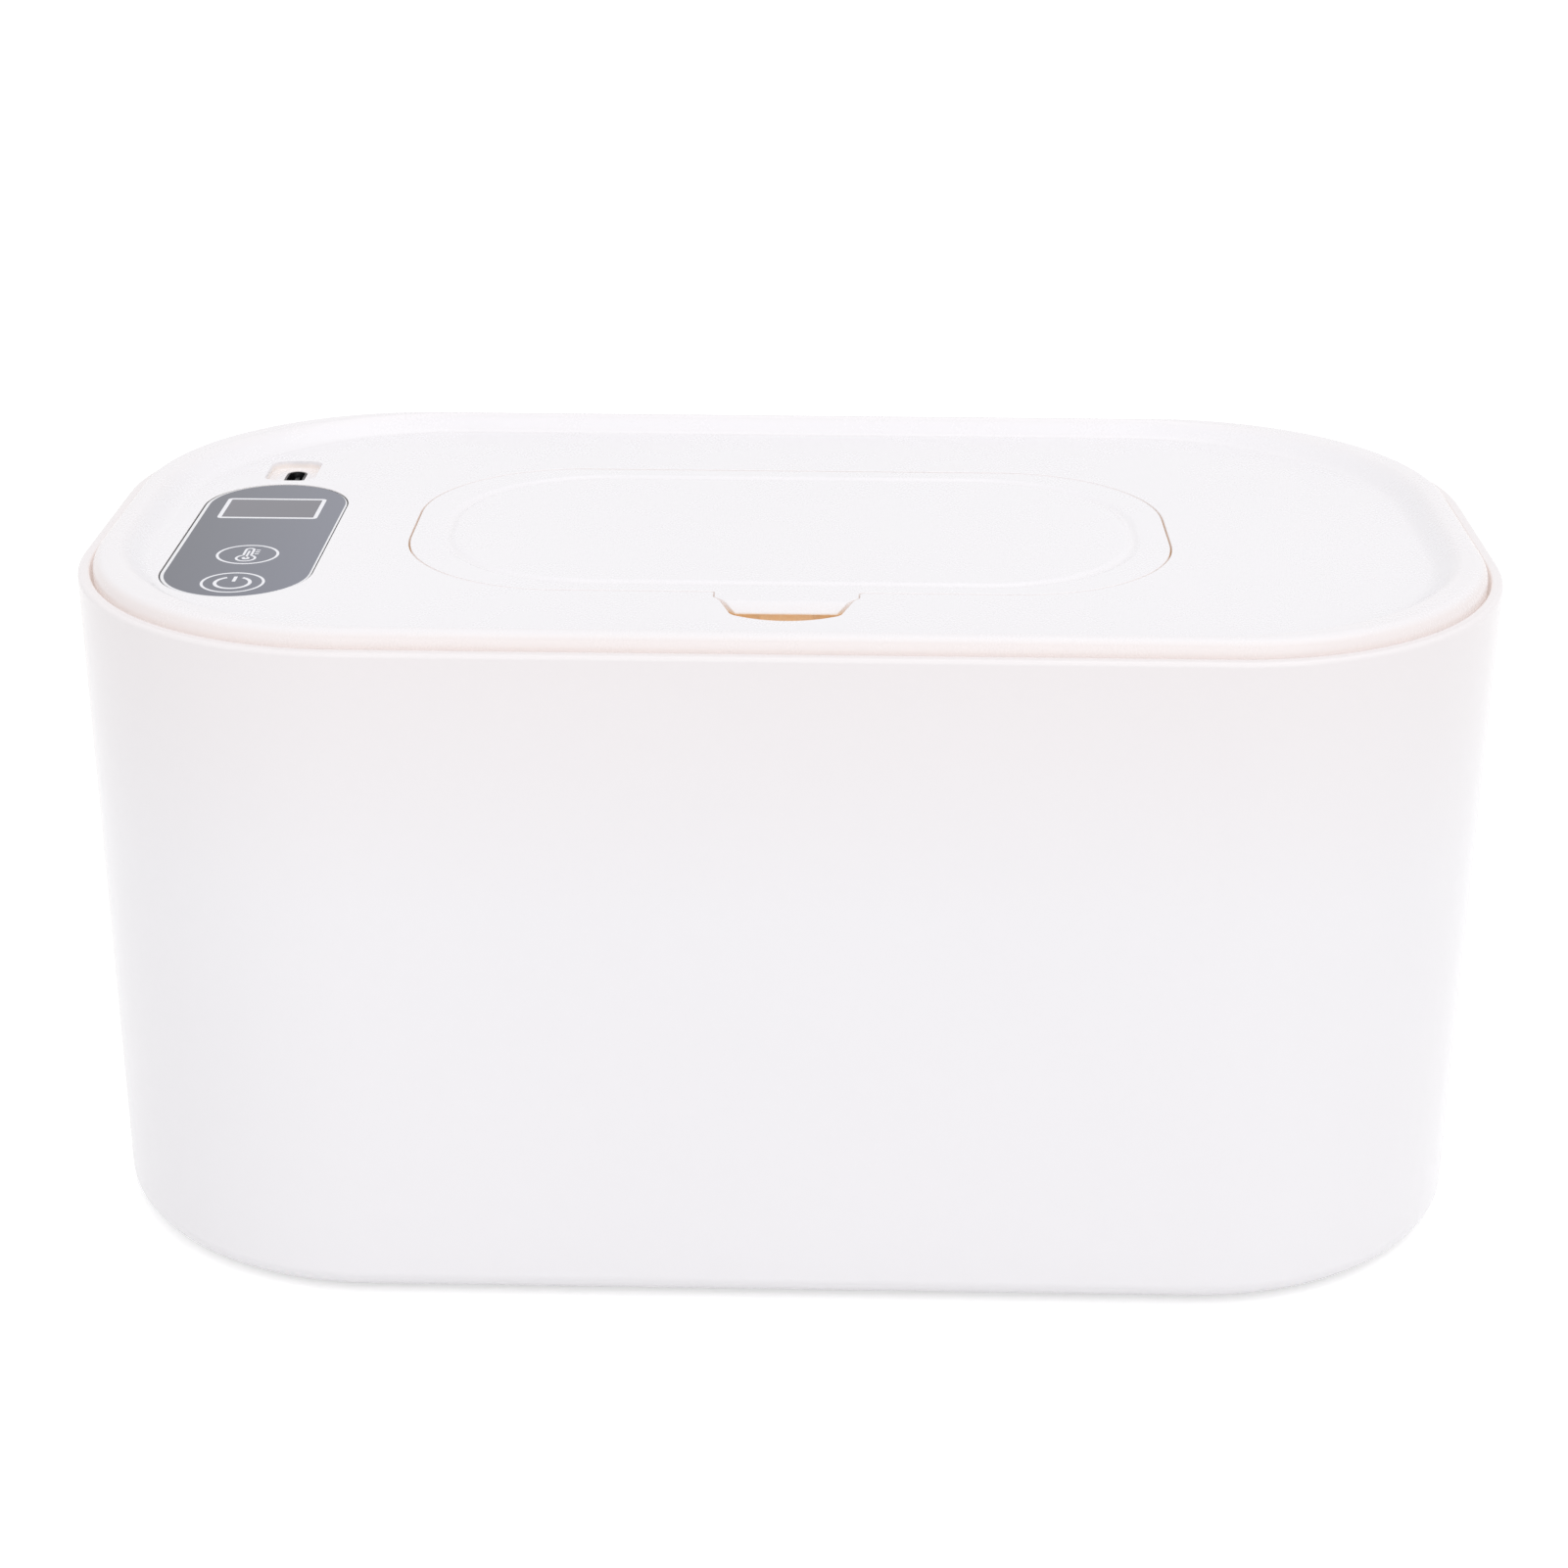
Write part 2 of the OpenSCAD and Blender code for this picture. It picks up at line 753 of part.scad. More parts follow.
module flap_cover() {
    color([0.97, 0.96, 0.95])
        difference() {
            union() {
                difference() {
                    union() {
                        flap_slab(0, panel_z - flap_land, panel_z);
                        difference() {
                            flap_slab(-skirt_gap, flap_under - flap_skirt_h, panel_z - flap_land);
                            flap_slab(-skirt_gap - flap_skirt_t, flap_under - flap_skirt_h - over, flap_under);
                        }
                    }
                    translate([-flap_a, axis_y, axis_z])
                        rotate([0, 90, 0])
                            cylinder(h = flap_w, r = roll_r, $fn = 96);
                }
                tab();
                translate([-catch_w / 2, catch_y - catch_t, hook_z - catch_r])
                    cube([catch_w, catch_t, tab_under + 0.3 - hook_z + catch_r]);
                catch_bead(catch_y, hook_z);
                hinge_places()
                    hinge_arm();
                for (sx = [-1, 1], y = stake_ys)
                    translate([sx * stake_x, y, flap_liner_z - 0.4])
                        cylinder(h = liner_t + 0.4, r = stake_r);
            }
            hinge_places()
                translate([-arm_w, axis_y, axis_z])
                    rotate([0, 90, 0])
                        cylinder(h = 2 * arm_w, r = pin_r + pin_clear);
            translate([0, flap_y, 0])
                swept(groove_w / 2, groove_d / 2, groove_r)
                    translate([groove_r, panel_z + groove_cut_r - groove_deep])
                        circle(groove_cut_r);
        }
}

module flap_liner() {
    edge = skirt_gap + flap_skirt_t + liner_gap;
    color([0.93, 0.93, 0.93])
        difference() {
            flap_slab(-edge, flap_liner_z, flap_under);
            hinge_places()
                translate([-arm_w / 2 - 0.3, axis_y + arm_front - arm_t / 2 - 0.3, flap_liner_z - over])
                    cube([arm_w + 0.6, flap_d, liner_t + 2 * over]);
            for (sx = [-1, 1], y = stake_ys)
                translate([sx * stake_x, y, flap_liner_z - over])
                    cylinder(h = liner_t + 2 * over, r = stake_r + 0.15);
        }
}

module flap_seal() {
    z0 = flap_liner_z - seal_h;
    color([0.86, 0.86, 0.86])
        difference() {
            throat(throat_t + seal_over, z0, flap_liner_z);
            throat(-seal_over, z0 - over, flap_liner_z + over);
        }
}

module hinge_pins() {
    half_l = pocket_half + cheek_t;
    color([0.72, 0.73, 0.75])
        hinge_places()
            translate([-half_l, axis_y, axis_z])
                rotate([0, 90, 0])
                    cylinder(h = 2 * half_l, r = pin_r);
}

module control_film() {
    color([0.55, 0.57, 0.61])
        translate([0, 0, panel_z - film_t])
            linear_extrude(film_t)
                film_plan(0);
}

module display_module() {
    top = panel_z - film_t - 0.1;
    color([0.5, 0.5, 0.52])
        translate([film_x - display_w / 2, display_y - display_d / 2, board_z])
            cube([display_w, display_d, top - board_z]);
}

// Coil springs that carry the touch of a finger to the board
module touch_springs() {
    turns = 5;
    wire_r = 0.35;
    pitch = (board_room - 2 * wire_r) / (turns - 1);
    color([0.8, 0.78, 0.72])
        for (y = key_ys)
            translate([film_x, y, board_z]) {
                for (k = [0:turns - 1])
                    translate([0, 0, wire_r + k * pitch])
                        rotate_extrude()
                            translate([spring_r - wire_r, 0])
                                circle(wire_r, $fn = 16);
                translate([spring_r - wire_r, 0, wire_r])
                    cylinder(h = board_room - 2 * wire_r, r = 0.6 * wire_r);
            }
}

module control_board() {
    chip = [7, 7, 1.2];
    plug = [5, 7, plug_h];
    color([0.12, 0.35, 0.2])
        difference() {
            union() {
                translate([film_x, 0, 0])
                    slab(board_w / 2, board_l / 2, 2, board_under, board_z);
                translate([film_x - chip[0] / 2, key_ys[0], board_under - chip[2]])
                    cube(chip);
                translate([film_x - board_w / 2 + 1, -plug[1] / 2, board_under - plug[2]])
                    cube(plug);
            }
            for (p = board_spots)
                translate([p[0], p[1], board_under - over])
                    cylinder(h = board_t + 2 * over, r = board_screw_r + 0.3);
        }
}

module power_port() {
    color([0.75, 0.76, 0.78])
        translate([port_x, port_y, 0])
            difference() {
                slab(port_w / 2, port_l / 2, port_w / 2 - 0.01, board_z, port_top);
                slab(port_w / 2 - port_t, port_l / 2 - port_t, port_w / 2 - port_t - 0.01,
                     board_z + 1.2, port_top + over);
            }
}

module port_tongue() {
    color([0.12, 0.12, 0.12])
        translate([port_x - 0.35, port_y - port_l / 2 + 1.1, board_z + 1.2])
            cube([0.7, port_l - 2.2, port_top - board_z - 1.9]);
}

// Sheet round the throat: the heater plate and what lies on it
module throat_sheet(edge, z0, z1) {
    difference() {
        translate([0, throat_y, 0])
            slab(heater_w / 2 - edge, heater_d / 2 - edge, plate_r - edge, z0, z1);
        throat(throat_t + collar_gap + collar_t + plate_gap + edge, z0 - over, z1 + over);
    }
}

module heater_plate() {
    color([0.8, 0.81, 0.83])
        throat_sheet(0, liner_top, heat_z);
}

module heater_film() {
    color([0.8, 0.5, 0.15])
        throat_sheet(1, heat_z, felt_z);
}

module insulation_sheet() {
    color([0.9, 0.9, 0.88])
        difference() {
            throat_sheet(1, felt_z, felt_z + felt_t);
            translate([-heater_w / 2 - over, -window_y, felt_z - over])
                cube([window_x + over, 2 * window_y, felt_t + 2 * over]);
        }
}

module temperature_sensor() {
    color([0.1, 0.1, 0.1])
        translate([pad_x, sensor_y, felt_z + bead_r])
            rotate([0, 90, 0]) {
                cylinder(h = sensor_l, r = bead_r, center = true);
                translate([0, 0, sensor_l / 2])
                    sphere(bead_r);
            }
}

module thermal_fuse() {
    color([0.75, 0.75, 0.72])
        translate([pad_x, fuse_y, felt_z + fuse_r])
            rotate([90, 0, 0]) {
                cylinder(h = fuse_l, r = fuse_r, center = true);
                cylinder(h = fuse_l + 5, r = 0.3, center = true);
            }
}

module heater_leads() {
    down_x = film_x - board_w / 2 + 1.5;
    run_z = felt_z + 2.5;
    color([0.75, 0.12, 0.1])
        for (y = [lead_y, lead_y - lead_step])
            wire([[down_x, y, board_under], [down_x, y, run_z], [pad_x, y, run_z], [pad_x, y, felt_z]], lead_r);
}

module sensor_leads() {
    down_x = film_x - board_w / 2 + 3.5;
    run_z = felt_z + bead_r;
    color([0.9, 0.9, 0.9])
        for (y = [sensor_y - 0.5, sensor_y + 0.5])
            wire([[down_x, y, board_under - plug_h], [down_x, y, run_z], [pad_x - sensor_l / 2, y, run_z]], 0.3);
}

module cross_screw(r, l, big_r, big_h) {
    difference() {
        union() {
            cylinder(h = big_h, r = big_r);
            cylinder(h = big_h + l, r = r);
        }
        for (a = [0, 90])
            rotate([0, 0, a])
                translate([-big_r * 0.6, -big_h * 0.2, -over])
                    cube([big_r * 1.2, big_h * 0.4, over + big_h * 0.5]);
    }
}

module liner_screws() {
    color([0.7, 0.7, 0.72])
        for (p = screw_spots)
            translate([p[0], p[1], liner_z])
                cross_screw(screw_r, screw_l, head_r, head_h);
}

module board_screws() {
    head = 0.9;
    color([0.7, 0.7, 0.72])
        for (p = board_spots)
            translate([p[0], p[1], board_under - head])
                cross_screw(board_screw_r, board_t + board_room - 1.6, 2 * board_screw_r, head);
}

case_shell();
rubber_feet();
lid_cover();
lid_liner();
lid_gasket();
flap_cover();
flap_liner();
flap_seal();
hinge_pins();
control_film();
display_module();
touch_springs();
control_board();
power_port();
port_tongue();
heater_plate();
heater_film();
insulation_sheet();
temperature_sensor();
thermal_fuse();
heater_leads();
sensor_leads();
liner_screws();
board_screws();
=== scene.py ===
"""Baby wipe warmer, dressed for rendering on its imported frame."""

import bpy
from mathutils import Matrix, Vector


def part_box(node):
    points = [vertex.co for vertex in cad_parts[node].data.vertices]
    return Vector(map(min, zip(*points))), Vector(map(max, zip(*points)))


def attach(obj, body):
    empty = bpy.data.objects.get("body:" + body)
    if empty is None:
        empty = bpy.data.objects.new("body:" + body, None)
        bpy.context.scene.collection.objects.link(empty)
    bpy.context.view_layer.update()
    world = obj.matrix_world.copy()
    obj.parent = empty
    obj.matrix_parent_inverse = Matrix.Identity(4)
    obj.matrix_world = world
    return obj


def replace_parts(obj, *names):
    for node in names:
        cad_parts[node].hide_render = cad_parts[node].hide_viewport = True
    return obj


bl_info = {
    "name": "Baby wipe warmer",
    "version": (1, 0, 0),
    "blender": (4, 5, 0),
    "location": "View3D > Sidebar > Warmer",
    "description": "Builds the surfaces, finishes and stage of a baby wipe warmer",
    "category": "Object",
}

import bpy
import numpy as np
from bpy.props import FloatProperty, FloatVectorProperty, PointerProperty
from bpy.types import Operator, Panel, PropertyGroup
from mathutils import Matrix, Vector
from mathutils.geometry import delaunay_2d_cdt

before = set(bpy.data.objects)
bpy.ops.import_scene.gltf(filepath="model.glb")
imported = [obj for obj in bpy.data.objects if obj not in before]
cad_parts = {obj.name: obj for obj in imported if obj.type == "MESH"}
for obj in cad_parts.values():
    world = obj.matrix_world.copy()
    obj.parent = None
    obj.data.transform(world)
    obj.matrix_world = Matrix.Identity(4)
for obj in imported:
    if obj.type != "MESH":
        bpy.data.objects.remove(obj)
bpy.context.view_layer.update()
MM = 0.001
IMAGE = 1601
FINISH = "_finish"
WHITE, BLACK = (1.0, 1.0, 1.0, 1.0), (0.0, 0.0, 0.0, 1.0)
# Steps of a quarter turn on the large corners
ARC = 32


# ---------------------------------------------------------------- settings


def colour_setting(name, description, *default):
    """A colour that the user may change."""
    return FloatVectorProperty(name=name, description=description, subtype="COLOR", size=3, min=0, max=1,
                               default=default)


def length_setting(name, description, least, most, default):
    """A length in metres that the user may change."""
    return FloatProperty(name=name, description=description, subtype="DISTANCE", unit="LENGTH", min=least, max=most,
                         default=default)


def power_setting(name, description, default):
    """A lamp's power that the user may change."""
    return FloatProperty(name=name, description=description, subtype="POWER", unit="POWER", min=0, max=100,
                         default=default)


class WarmerColours(PropertyGroup):
    """Colours of the finishes."""

    plastic: colour_setting("Plastic", "Colour of the case, the lid and the flap", 0.905, 0.889, 0.915)
    liner: colour_setting("Liner", "Colour of the plain inner mouldings", 0.8, 0.8, 0.81)
    silicone: colour_setting("Silicone", "Colour of the gasket and the flap's seal", 0.72, 0.73, 0.75)
    rubber: colour_setting("Rubber", "Colour of the feet", 0.5, 0.5, 0.51)
    film: colour_setting("Control film", "Colour printed behind the control film", 0.1, 0.106, 0.146)
    print_ink: colour_setting("Print", "Colour of the lines and icons on the control film", 0.86, 0.86, 0.91)
    # Painted warm light at thin edges and up the walls of the case and lid
    painted_edge_warmth: colour_setting("Thin edges", "Tint of the plastic at thin edges", 0.965, 0.915, 0.885)
    # Painted tan shade of the deep hollows
    hollow: colour_setting("Hollows", "Tint of the plastic in deep hollows", 1.0, 0.785, 0.53)
    background: colour_setting("Background", "Colour of the floor and backdrop", 1.0, 1.0, 1.0)


class WarmerSizes(PropertyGroup):
    """Sizes of the fine detail, in metres."""

    rim_round: length_setting("Rim rounding", "Rounding along the top edge of the case", 0.0003, 0.0009, 0.0007)
    panel_edge: length_setting("Panel edge", "Rounding of the panel's edge round the flap", 0.0001, 0.0005, 0.0002)
    flap_edge: length_setting("Flap edge", "Rounding of the flap's top edge", 0.0001, 0.0002, 0.00015)
    groove_deep: length_setting("Groove depth", "Depth of the ring groove in the flap", 0.0002, 0.0008, 0.0005)
    line_width: length_setting("Line width", "Width of the printed lines of the icons", 0.0002, 0.0006, 0.00042)


class WarmerLight(PropertyGroup):
    """Levels of the lamps."""

    sky: FloatProperty(name="Sky", description="Strength of the even light from all round", min=0, max=2,
                       default=0.8)
    key: power_setting("Key lamp", "Power of the large low lamp before the front", 11.0)
    top: power_setting("Top lamp", "Power of the lamp overhead", 6.0)
    fill: power_setting("Fill lamp", "Power of the lamp on the left", 1.0)

# ------------------------------------------------------------- node groups


class Tree:
    """Short way to lay out a node tree."""

    def __init__(self, tree):
        self.tree = tree
        self.x = 0

    def add(self, kind, inputs=None, **settings):
        """A node with its settings, its values and its links."""
        node = self.tree.nodes.new(kind)
        node.location = (self.x, 0)
        self.x += 180
        for name, value in settings.items():
            setattr(node, name, value)
        for name, value in (inputs or {}).items():
            self.put(value, node.inputs[name])
        return node

    def put(self, value, socket):
        """Links an output to a socket, or writes a plain value into it."""
        if isinstance(value, bpy.types.NodeSocket):
            self.tree.links.new(value, socket)
        else:
            socket.default_value = value

    def math(self, operation, *values, **settings):
        """Output of one Math node."""
        return self.add("ShaderNodeMath", dict(enumerate(values)), operation=operation, **settings).outputs[0]

    def shares(self, a, a_share, b, b_share, **settings):
        """a * a_share + b * b_share."""
        return self.math("ADD", self.math("MULTIPLY", a, a_share), self.math("MULTIPLY", b, b_share), **settings)

    def blend(self, factor, a, b, **settings):
        """Output of a colour Mix node."""
        return self.add("ShaderNodeMix", {0: factor, 6: a, 7: b}, data_type="RGBA", **settings).outputs[2]

    def times(self, a, b):
        """Product of two colours."""
        return self.blend(1.0, a, b, blend_type="MULTIPLY")

    def ramp(self, value, start, end, low=0.0, high=1.0):
        """low where the value is start, high where it is end, and straight between."""
        return self.add("ShaderNodeMapRange", {"Value": value, "From Min": start, "From Max": end,
                                               "To Min": low, "To Max": high}).outputs[0]

    def place(self):
        """A point's place on the object."""
        return self.add("ShaderNodeTexCoord").outputs["Object"]

    def along(self, vector, axis):
        """One coordinate of a vector."""
        return self.add("ShaderNodeSeparateXYZ", {0: vector}).outputs[axis]

    def noise(self, vector, scale, detail=2.0, rough=0.5):
        """Value of a noise texture, around one half."""
        return self.add("ShaderNodeTexNoise", {"Vector": vector, "Scale": scale, "Detail": detail,
                                               "Roughness": rough}).outputs["Fac"]

    def closed_off(self, distance, start, end, level):
        """Part of the surroundings closed off within a distance: 0 at openness start, 1 at end, times level."""
        openness = self.add("ShaderNodeAmbientOcclusion", {"Distance": distance}, samples=3).outputs["AO"]
        return self.math("MULTIPLY", self.ramp(openness, start, end), level)


def group(name, inputs, outputs):
    """A new shader node group: its Tree and the sockets of its input and output nodes. A socket whose value is a
    tuple takes a colour, and any other a number."""
    made = bpy.data.node_groups.new(name, "ShaderNodeTree")
    for way, sockets in (("INPUT", inputs), ("OUTPUT", outputs)):
        for label, value in sockets.items():
            kind = "NodeSocketColor" if isinstance(value, tuple) else "NodeSocketFloat"
            made.interface.new_socket(label, in_out=way, socket_type=kind).default_value = value
    tree = Tree(made)
    return tree, tree.add("NodeGroupInput").outputs, tree.add("NodeGroupOutput").inputs


def moulded_skin():
    """Surface of a polished moulding: long soft waves of the melt, a fine spark-eroded grain, and a gloss
    that drifts with the waves. height = waves * Waves + grain * Grain."""
    t, given, out = group("Moulded skin", {"Waves": 1.0, "Grain": 0.25, "Gloss low": 0.25, "Gloss high": 0.35},
                          {"Height": 0.0, "Roughness": 0.0})
    place = t.place()
    waves, grain = t.noise(place, 90.0, 1.0), t.noise(place, 2600.0)
    t.put(t.shares(waves, given["Waves"], grain, given["Grain"]), out["Height"])
    t.put(t.ramp(t.shares(waves, 0.6, grain, 0.4), 0.3, 0.7, given["Gloss low"], given["Gloss high"]),
          out["Roughness"])
    return t.tree


def tone_drift():
    """Colour that drifts slowly between two near tones, with a faint fine speckle."""
    t, given, out = group("Tone drift", {"Tone A": WHITE, "Tone B": WHITE, "Size": 14.0}, {"Colour": WHITE})
    place = t.place()
    factor = t.shares(t.noise(place, given["Size"]), 0.8, t.noise(place, 1500.0, 1.0), 0.2, use_clamp=True)
    t.put(t.blend(factor, given["Tone A"], given["Tone B"]), out["Colour"])
    return t.tree


def brushed_metal():
    """Fine drawn lines on metal: noise stretched thirty to one, as a height and a roughness."""
    t, given, out = group("Brushed metal", {"Rough low": 0.2, "Rough high": 0.45}, {"Height": 0.0, "Roughness": 0.0})
    drawn = t.add("ShaderNodeMapping", {"Vector": t.place(), "Scale": (1.0, 30.0, 30.0)}).outputs[0]
    lines = t.noise(drawn, 120.0, 3.0)
    t.put(lines, out["Height"])
    t.put(t.ramp(lines, 0.3, 0.7, given["Rough low"], given["Rough high"]), out["Roughness"])
    return t.tree


def fibre_mat():
    """Pressed fibres: two stretched noises across each other, as a height and a mask."""
    t, given, out = group("Fibre mat", {"Size": 900.0}, {"Height": 0.0, "Mask": 0.0})
    place = t.place()
    laid = [t.add("ShaderNodeMapping", {"Vector": place, "Rotation": (0, 0, turn), "Scale": (1.0, 9.0, 3.0)})
            for turn in (0.5, 2.1)]
    both = t.math("MAXIMUM", *[t.noise(way.outputs[0], given["Size"], 2.0, 0.6) for way in laid])
    t.put(both, out["Height"])
    t.put(t.ramp(both, 0.45, 0.7), out["Mask"])
    return t.tree


def painted_gap_shade():
    """Painted shade and glow in a narrow gap, and painted warm light at a thin edge, standing in for light that comes
    through the thin plastic. The mask is the part of the surroundings closed off within 1.5 mm, times Level.
    Colour = Colour * mix(white, gap shade, mask) * mix(white, edge warmth, Edge), and a faint painted glow, times
    mask ** 2, keeps the gap from going black."""
    t, given, out = group("Painted gap shade", {"Colour": WHITE, "Gap painted shade": WHITE, "Edge painted warmth": WHITE, "Painted glow": BLACK,
                                          "Level": 1.0, "Edge": 0.0}, {"Colour": WHITE, "Painted glow": BLACK, "Mask": 0.0})
    shut = t.closed_off(0.0015, 0.9, 0.3, given["Level"])
    tint = t.times(t.blend(shut, WHITE, given["Gap painted shade"]), t.blend(given["Edge"], WHITE, given["Edge painted warmth"]))
    t.put(t.times(given["Colour"], tint), out["Colour"])
    t.put(t.blend(t.math("POWER", shut, 2.0), BLACK, given["Painted glow"]), out["Painted glow"])
    t.put(shut, out["Mask"])
    return t.tree


def painted_hollows_shade():
    """Painted tan shade and painted glow in wide hollows closed off within 12 mm, standing in for light that has
    bounced many times. The mask is the part of the surroundings closed off, times Level, outside the narrow gaps.
    Colour = Colour * mix(white, Tint, mask), and the painted glow goes from the one below to the group's own with
    the mask."""
    t, given, out = group("Painted hollows shade", {"Colour": WHITE, "Tint": WHITE, "Painted glow": BLACK, "Painted glow below": BLACK,
                                           "Narrow": 0.0, "Level": 1.0}, {"Colour": WHITE, "Painted glow": BLACK})
    shut = t.math("MULTIPLY", t.closed_off(0.012, 0.6, 0.2, given["Level"]), t.math("SUBTRACT", 1.0, given["Narrow"]))
    t.put(t.times(given["Colour"], t.blend(shut, WHITE, given["Tint"])), out["Colour"])
    t.put(t.blend(shut, given["Painted glow below"], given["Painted glow"]), out["Painted glow"])
    return t.tree


def shade(colour, k):
    """The colour times k, as RGBA."""
    return (*[min(1.0, c * k) for c in colour], 1.0)


class Finishes:
    """Makes the finishes. A finish takes its effects from the shared groups, which are made once."""

    def __init__(self, painted_edge_warmth, hollow):
        self.groups = {}
        # Painted tan shade of the deep hollows
        self.hollow = (*hollow, 1.0)
        # Painted shade at full depth of a gap, painted warm light at a thin edge, and painted glow in the gap
        self.gap = {"Gap painted shade": (1.0, 0.98, 0.955, 1.0), "Edge painted warmth": (*painted_edge_warmth, 1.0),
                    "Painted glow": (0.12, 0.108, 0.1, 1.0)}

    def use(self, tree, maker, inputs):
        """Outputs of a node that places a shared group."""
        key = maker.__name__
        if key not in self.groups:
            self.groups[key] = maker()
        node = tree.add("ShaderNodeGroup", node_tree=self.groups[key])
        for name, value in inputs.items():
            tree.put(value, node.inputs[name])
        return node.outputs

    def tone(self, tree, colour, low, high, size=14.0):
        """Colour that drifts between low and high times the colour."""
        return self.use(tree, tone_drift, {"Tone A": shade(colour, low), "Tone B": shade(colour, high),
                                           "Size": size})["Colour"]

    def skin(self, tree, waves, grain, gloss):
        """Roughness and height of a moulding."""
        made = self.use(tree, moulded_skin, {"Waves": waves, "Grain": grain, "Gloss low": gloss[0],
                                             "Gloss high": gloss[1]})
        return made["Roughness"], made["Height"]

    @staticmethod
    def start(name):
        """The Tree of a new material and its Principled shader's sockets. The frame brings materials named as the
        slots are, so a finish has a name of its own."""
        made = bpy.data.materials.new(name + FINISH)
        if made.name != name + FINISH:
            raise RuntimeError(f"{name} is made twice")
        made.use_nodes = True
        return Tree(made.node_tree), made.node_tree.nodes["Principled BSDF"].inputs

    @staticmethod
    def cover(tree, sockets, tone, rough, height, depth):
        """Gives the shader its colour, its roughness and a bump of depth metres."""
        tree.put(tone, sockets["Base Color"])
        tree.put(rough, sockets["Roughness"])
        bump = tree.add("ShaderNodeBump", {"Height": height, "Strength": 1.0, "Distance": depth})
        tree.put(bump.outputs[0], sockets["Normal"])

    def moulding(self, name, colour, drift=0.985, gloss=(0.26, 0.36), waves=1.0, grain=0.2, depth=0.00002,
                 warmth=None, **plain):
        """Moulded plastic or rubber: drifting tone, soft waves and fine grain. warmth is a method that paints shade,
        glow and warm light into its gaps, hollows and edges, and plain holds plain values for other sockets."""
        tree, sockets = self.start(name)
        tone = self.tone(tree, colour, drift, 2 - drift)
        if warmth:
            # Painted shade and warm light go into the colour, and a painted glow goes out as emission
            warm = warmth(tree, tone)
            tone = warm["Colour"]
            tree.put(warm["Painted glow"], sockets["Emission Color"])
            sockets["Emission Strength"].default_value = 1.0
        self.cover(tree, sockets, tone, *self.skin(tree, waves, grain, gloss), depth)
        for key, value in plain.items():
            sockets[key.replace("_", " ")].default_value = value

    def case_painted_warmth(self, tree, colour):
        """Painted shade and glow in the gap under the rim, and painted warm light that grows up the wall: Edge goes
        from 0 at 65 mm to 0.5 at the rim. The foot stays out of it."""
        height = tree.along(tree.place(), 2)
        return self.use(tree, painted_gap_shade, {"Colour": colour, **self.gap, "Level": tree.ramp(height, 0.02, 0.04),
                                            "Edge": tree.ramp(height, 0.065, 0.104, 0.0, 0.5)})

    def lid_painted_warmth(self, tree, colour):
        """Painted shade and glow in gaps, painted tan shade and glow in hollows, faint painted warm light on the
        crest, and
        painted warm light on the outer wall: Edge is one fifth at the crest, and on the outside, where the surface
        faces away from the middle, it goes to 1 as the surface stands up."""
        where = tree.place()
        height = tree.along(where, 2)
        facing = tree.add("ShaderNodeNewGeometry").outputs["Normal"]
        level = tree.add("ShaderNodeVectorMath", {0: where, 1: (1, 1, 0)}, operation="MULTIPLY").outputs["Vector"]
        away = tree.add("ShaderNodeVectorMath", {0: level, 1: facing}, operation="DOT_PRODUCT").outputs["Value"]
        # Masks of painted warm light: the steep outer wall and the crest
        steep = tree.math("MULTIPLY", tree.ramp(tree.along(facing, 2), 1.0, 0.6), tree.ramp(away, 0.0, 0.01))
        outside = tree.math("MULTIPLY", steep, tree.ramp(height, 0.104, 0.1046))
        crest = tree.ramp(height, 0.1055, 0.1065, 0.0, 0.2)
        gaps = self.use(tree, painted_gap_shade, {"Colour": colour, **self.gap,
                                            "Edge": tree.math("MAXIMUM", outside, crest)})
        # Painted tan shade and glow in the deep hollows below the panel
        return self.use(tree, painted_hollows_shade, {"Colour": gaps["Colour"], "Tint": self.hollow,
                                             "Painted glow": (0.12, 0.077, 0.033, 1.0), "Painted glow below": gaps["Painted glow"],
                                             "Narrow": gaps["Mask"], "Level": tree.ramp(height, 0.1035, 0.1024)})

    def printed(self, name, colour, low=1.0, high=1.0):
        """Glossy film over print whose tone goes from low to high times the colour across the film."""
        tree, sockets = self.start(name)
        across = tree.ramp(tree.along(tree.place(), 0), -0.094, -0.071)
        sides = [self.tone(tree, colour, 0.97 * k, 1.03 * k) for k in (low, high)]
        self.cover(tree, sockets, tree.blend(across, *sides), *self.skin(tree, 0.3, 0.0, (0.1, 0.14)), 0.00002)

    def metal(self, name, colour, rough=(0.2, 0.45)):
        """Metal with fine drawn lines."""
        tree, sockets = self.start(name)
        lines = self.use(tree, brushed_metal, {"Rough low": rough[0], "Rough high": rough[1]})
        tone = self.tone(tree, colour, 0.9, 1.08, 120.0)
        self.cover(tree, sockets, tone, lines["Roughness"], lines["Height"], 0.000008)
        sockets["Metallic"].default_value = 1.0

    def felt(self, name, colour):
        """Pressed felt."""
        tree, sockets = self.start(name)
        fibres = self.use(tree, fibre_mat, {"Size": 900.0})
        tone = tree.blend(fibres["Mask"], shade(colour, 0.8), shade(colour, 1.08))
        self.cover(tree, sockets, tone, 0.95, fibres["Height"], 0.0002)
        sockets["Sheen Weight"].default_value = 0.4


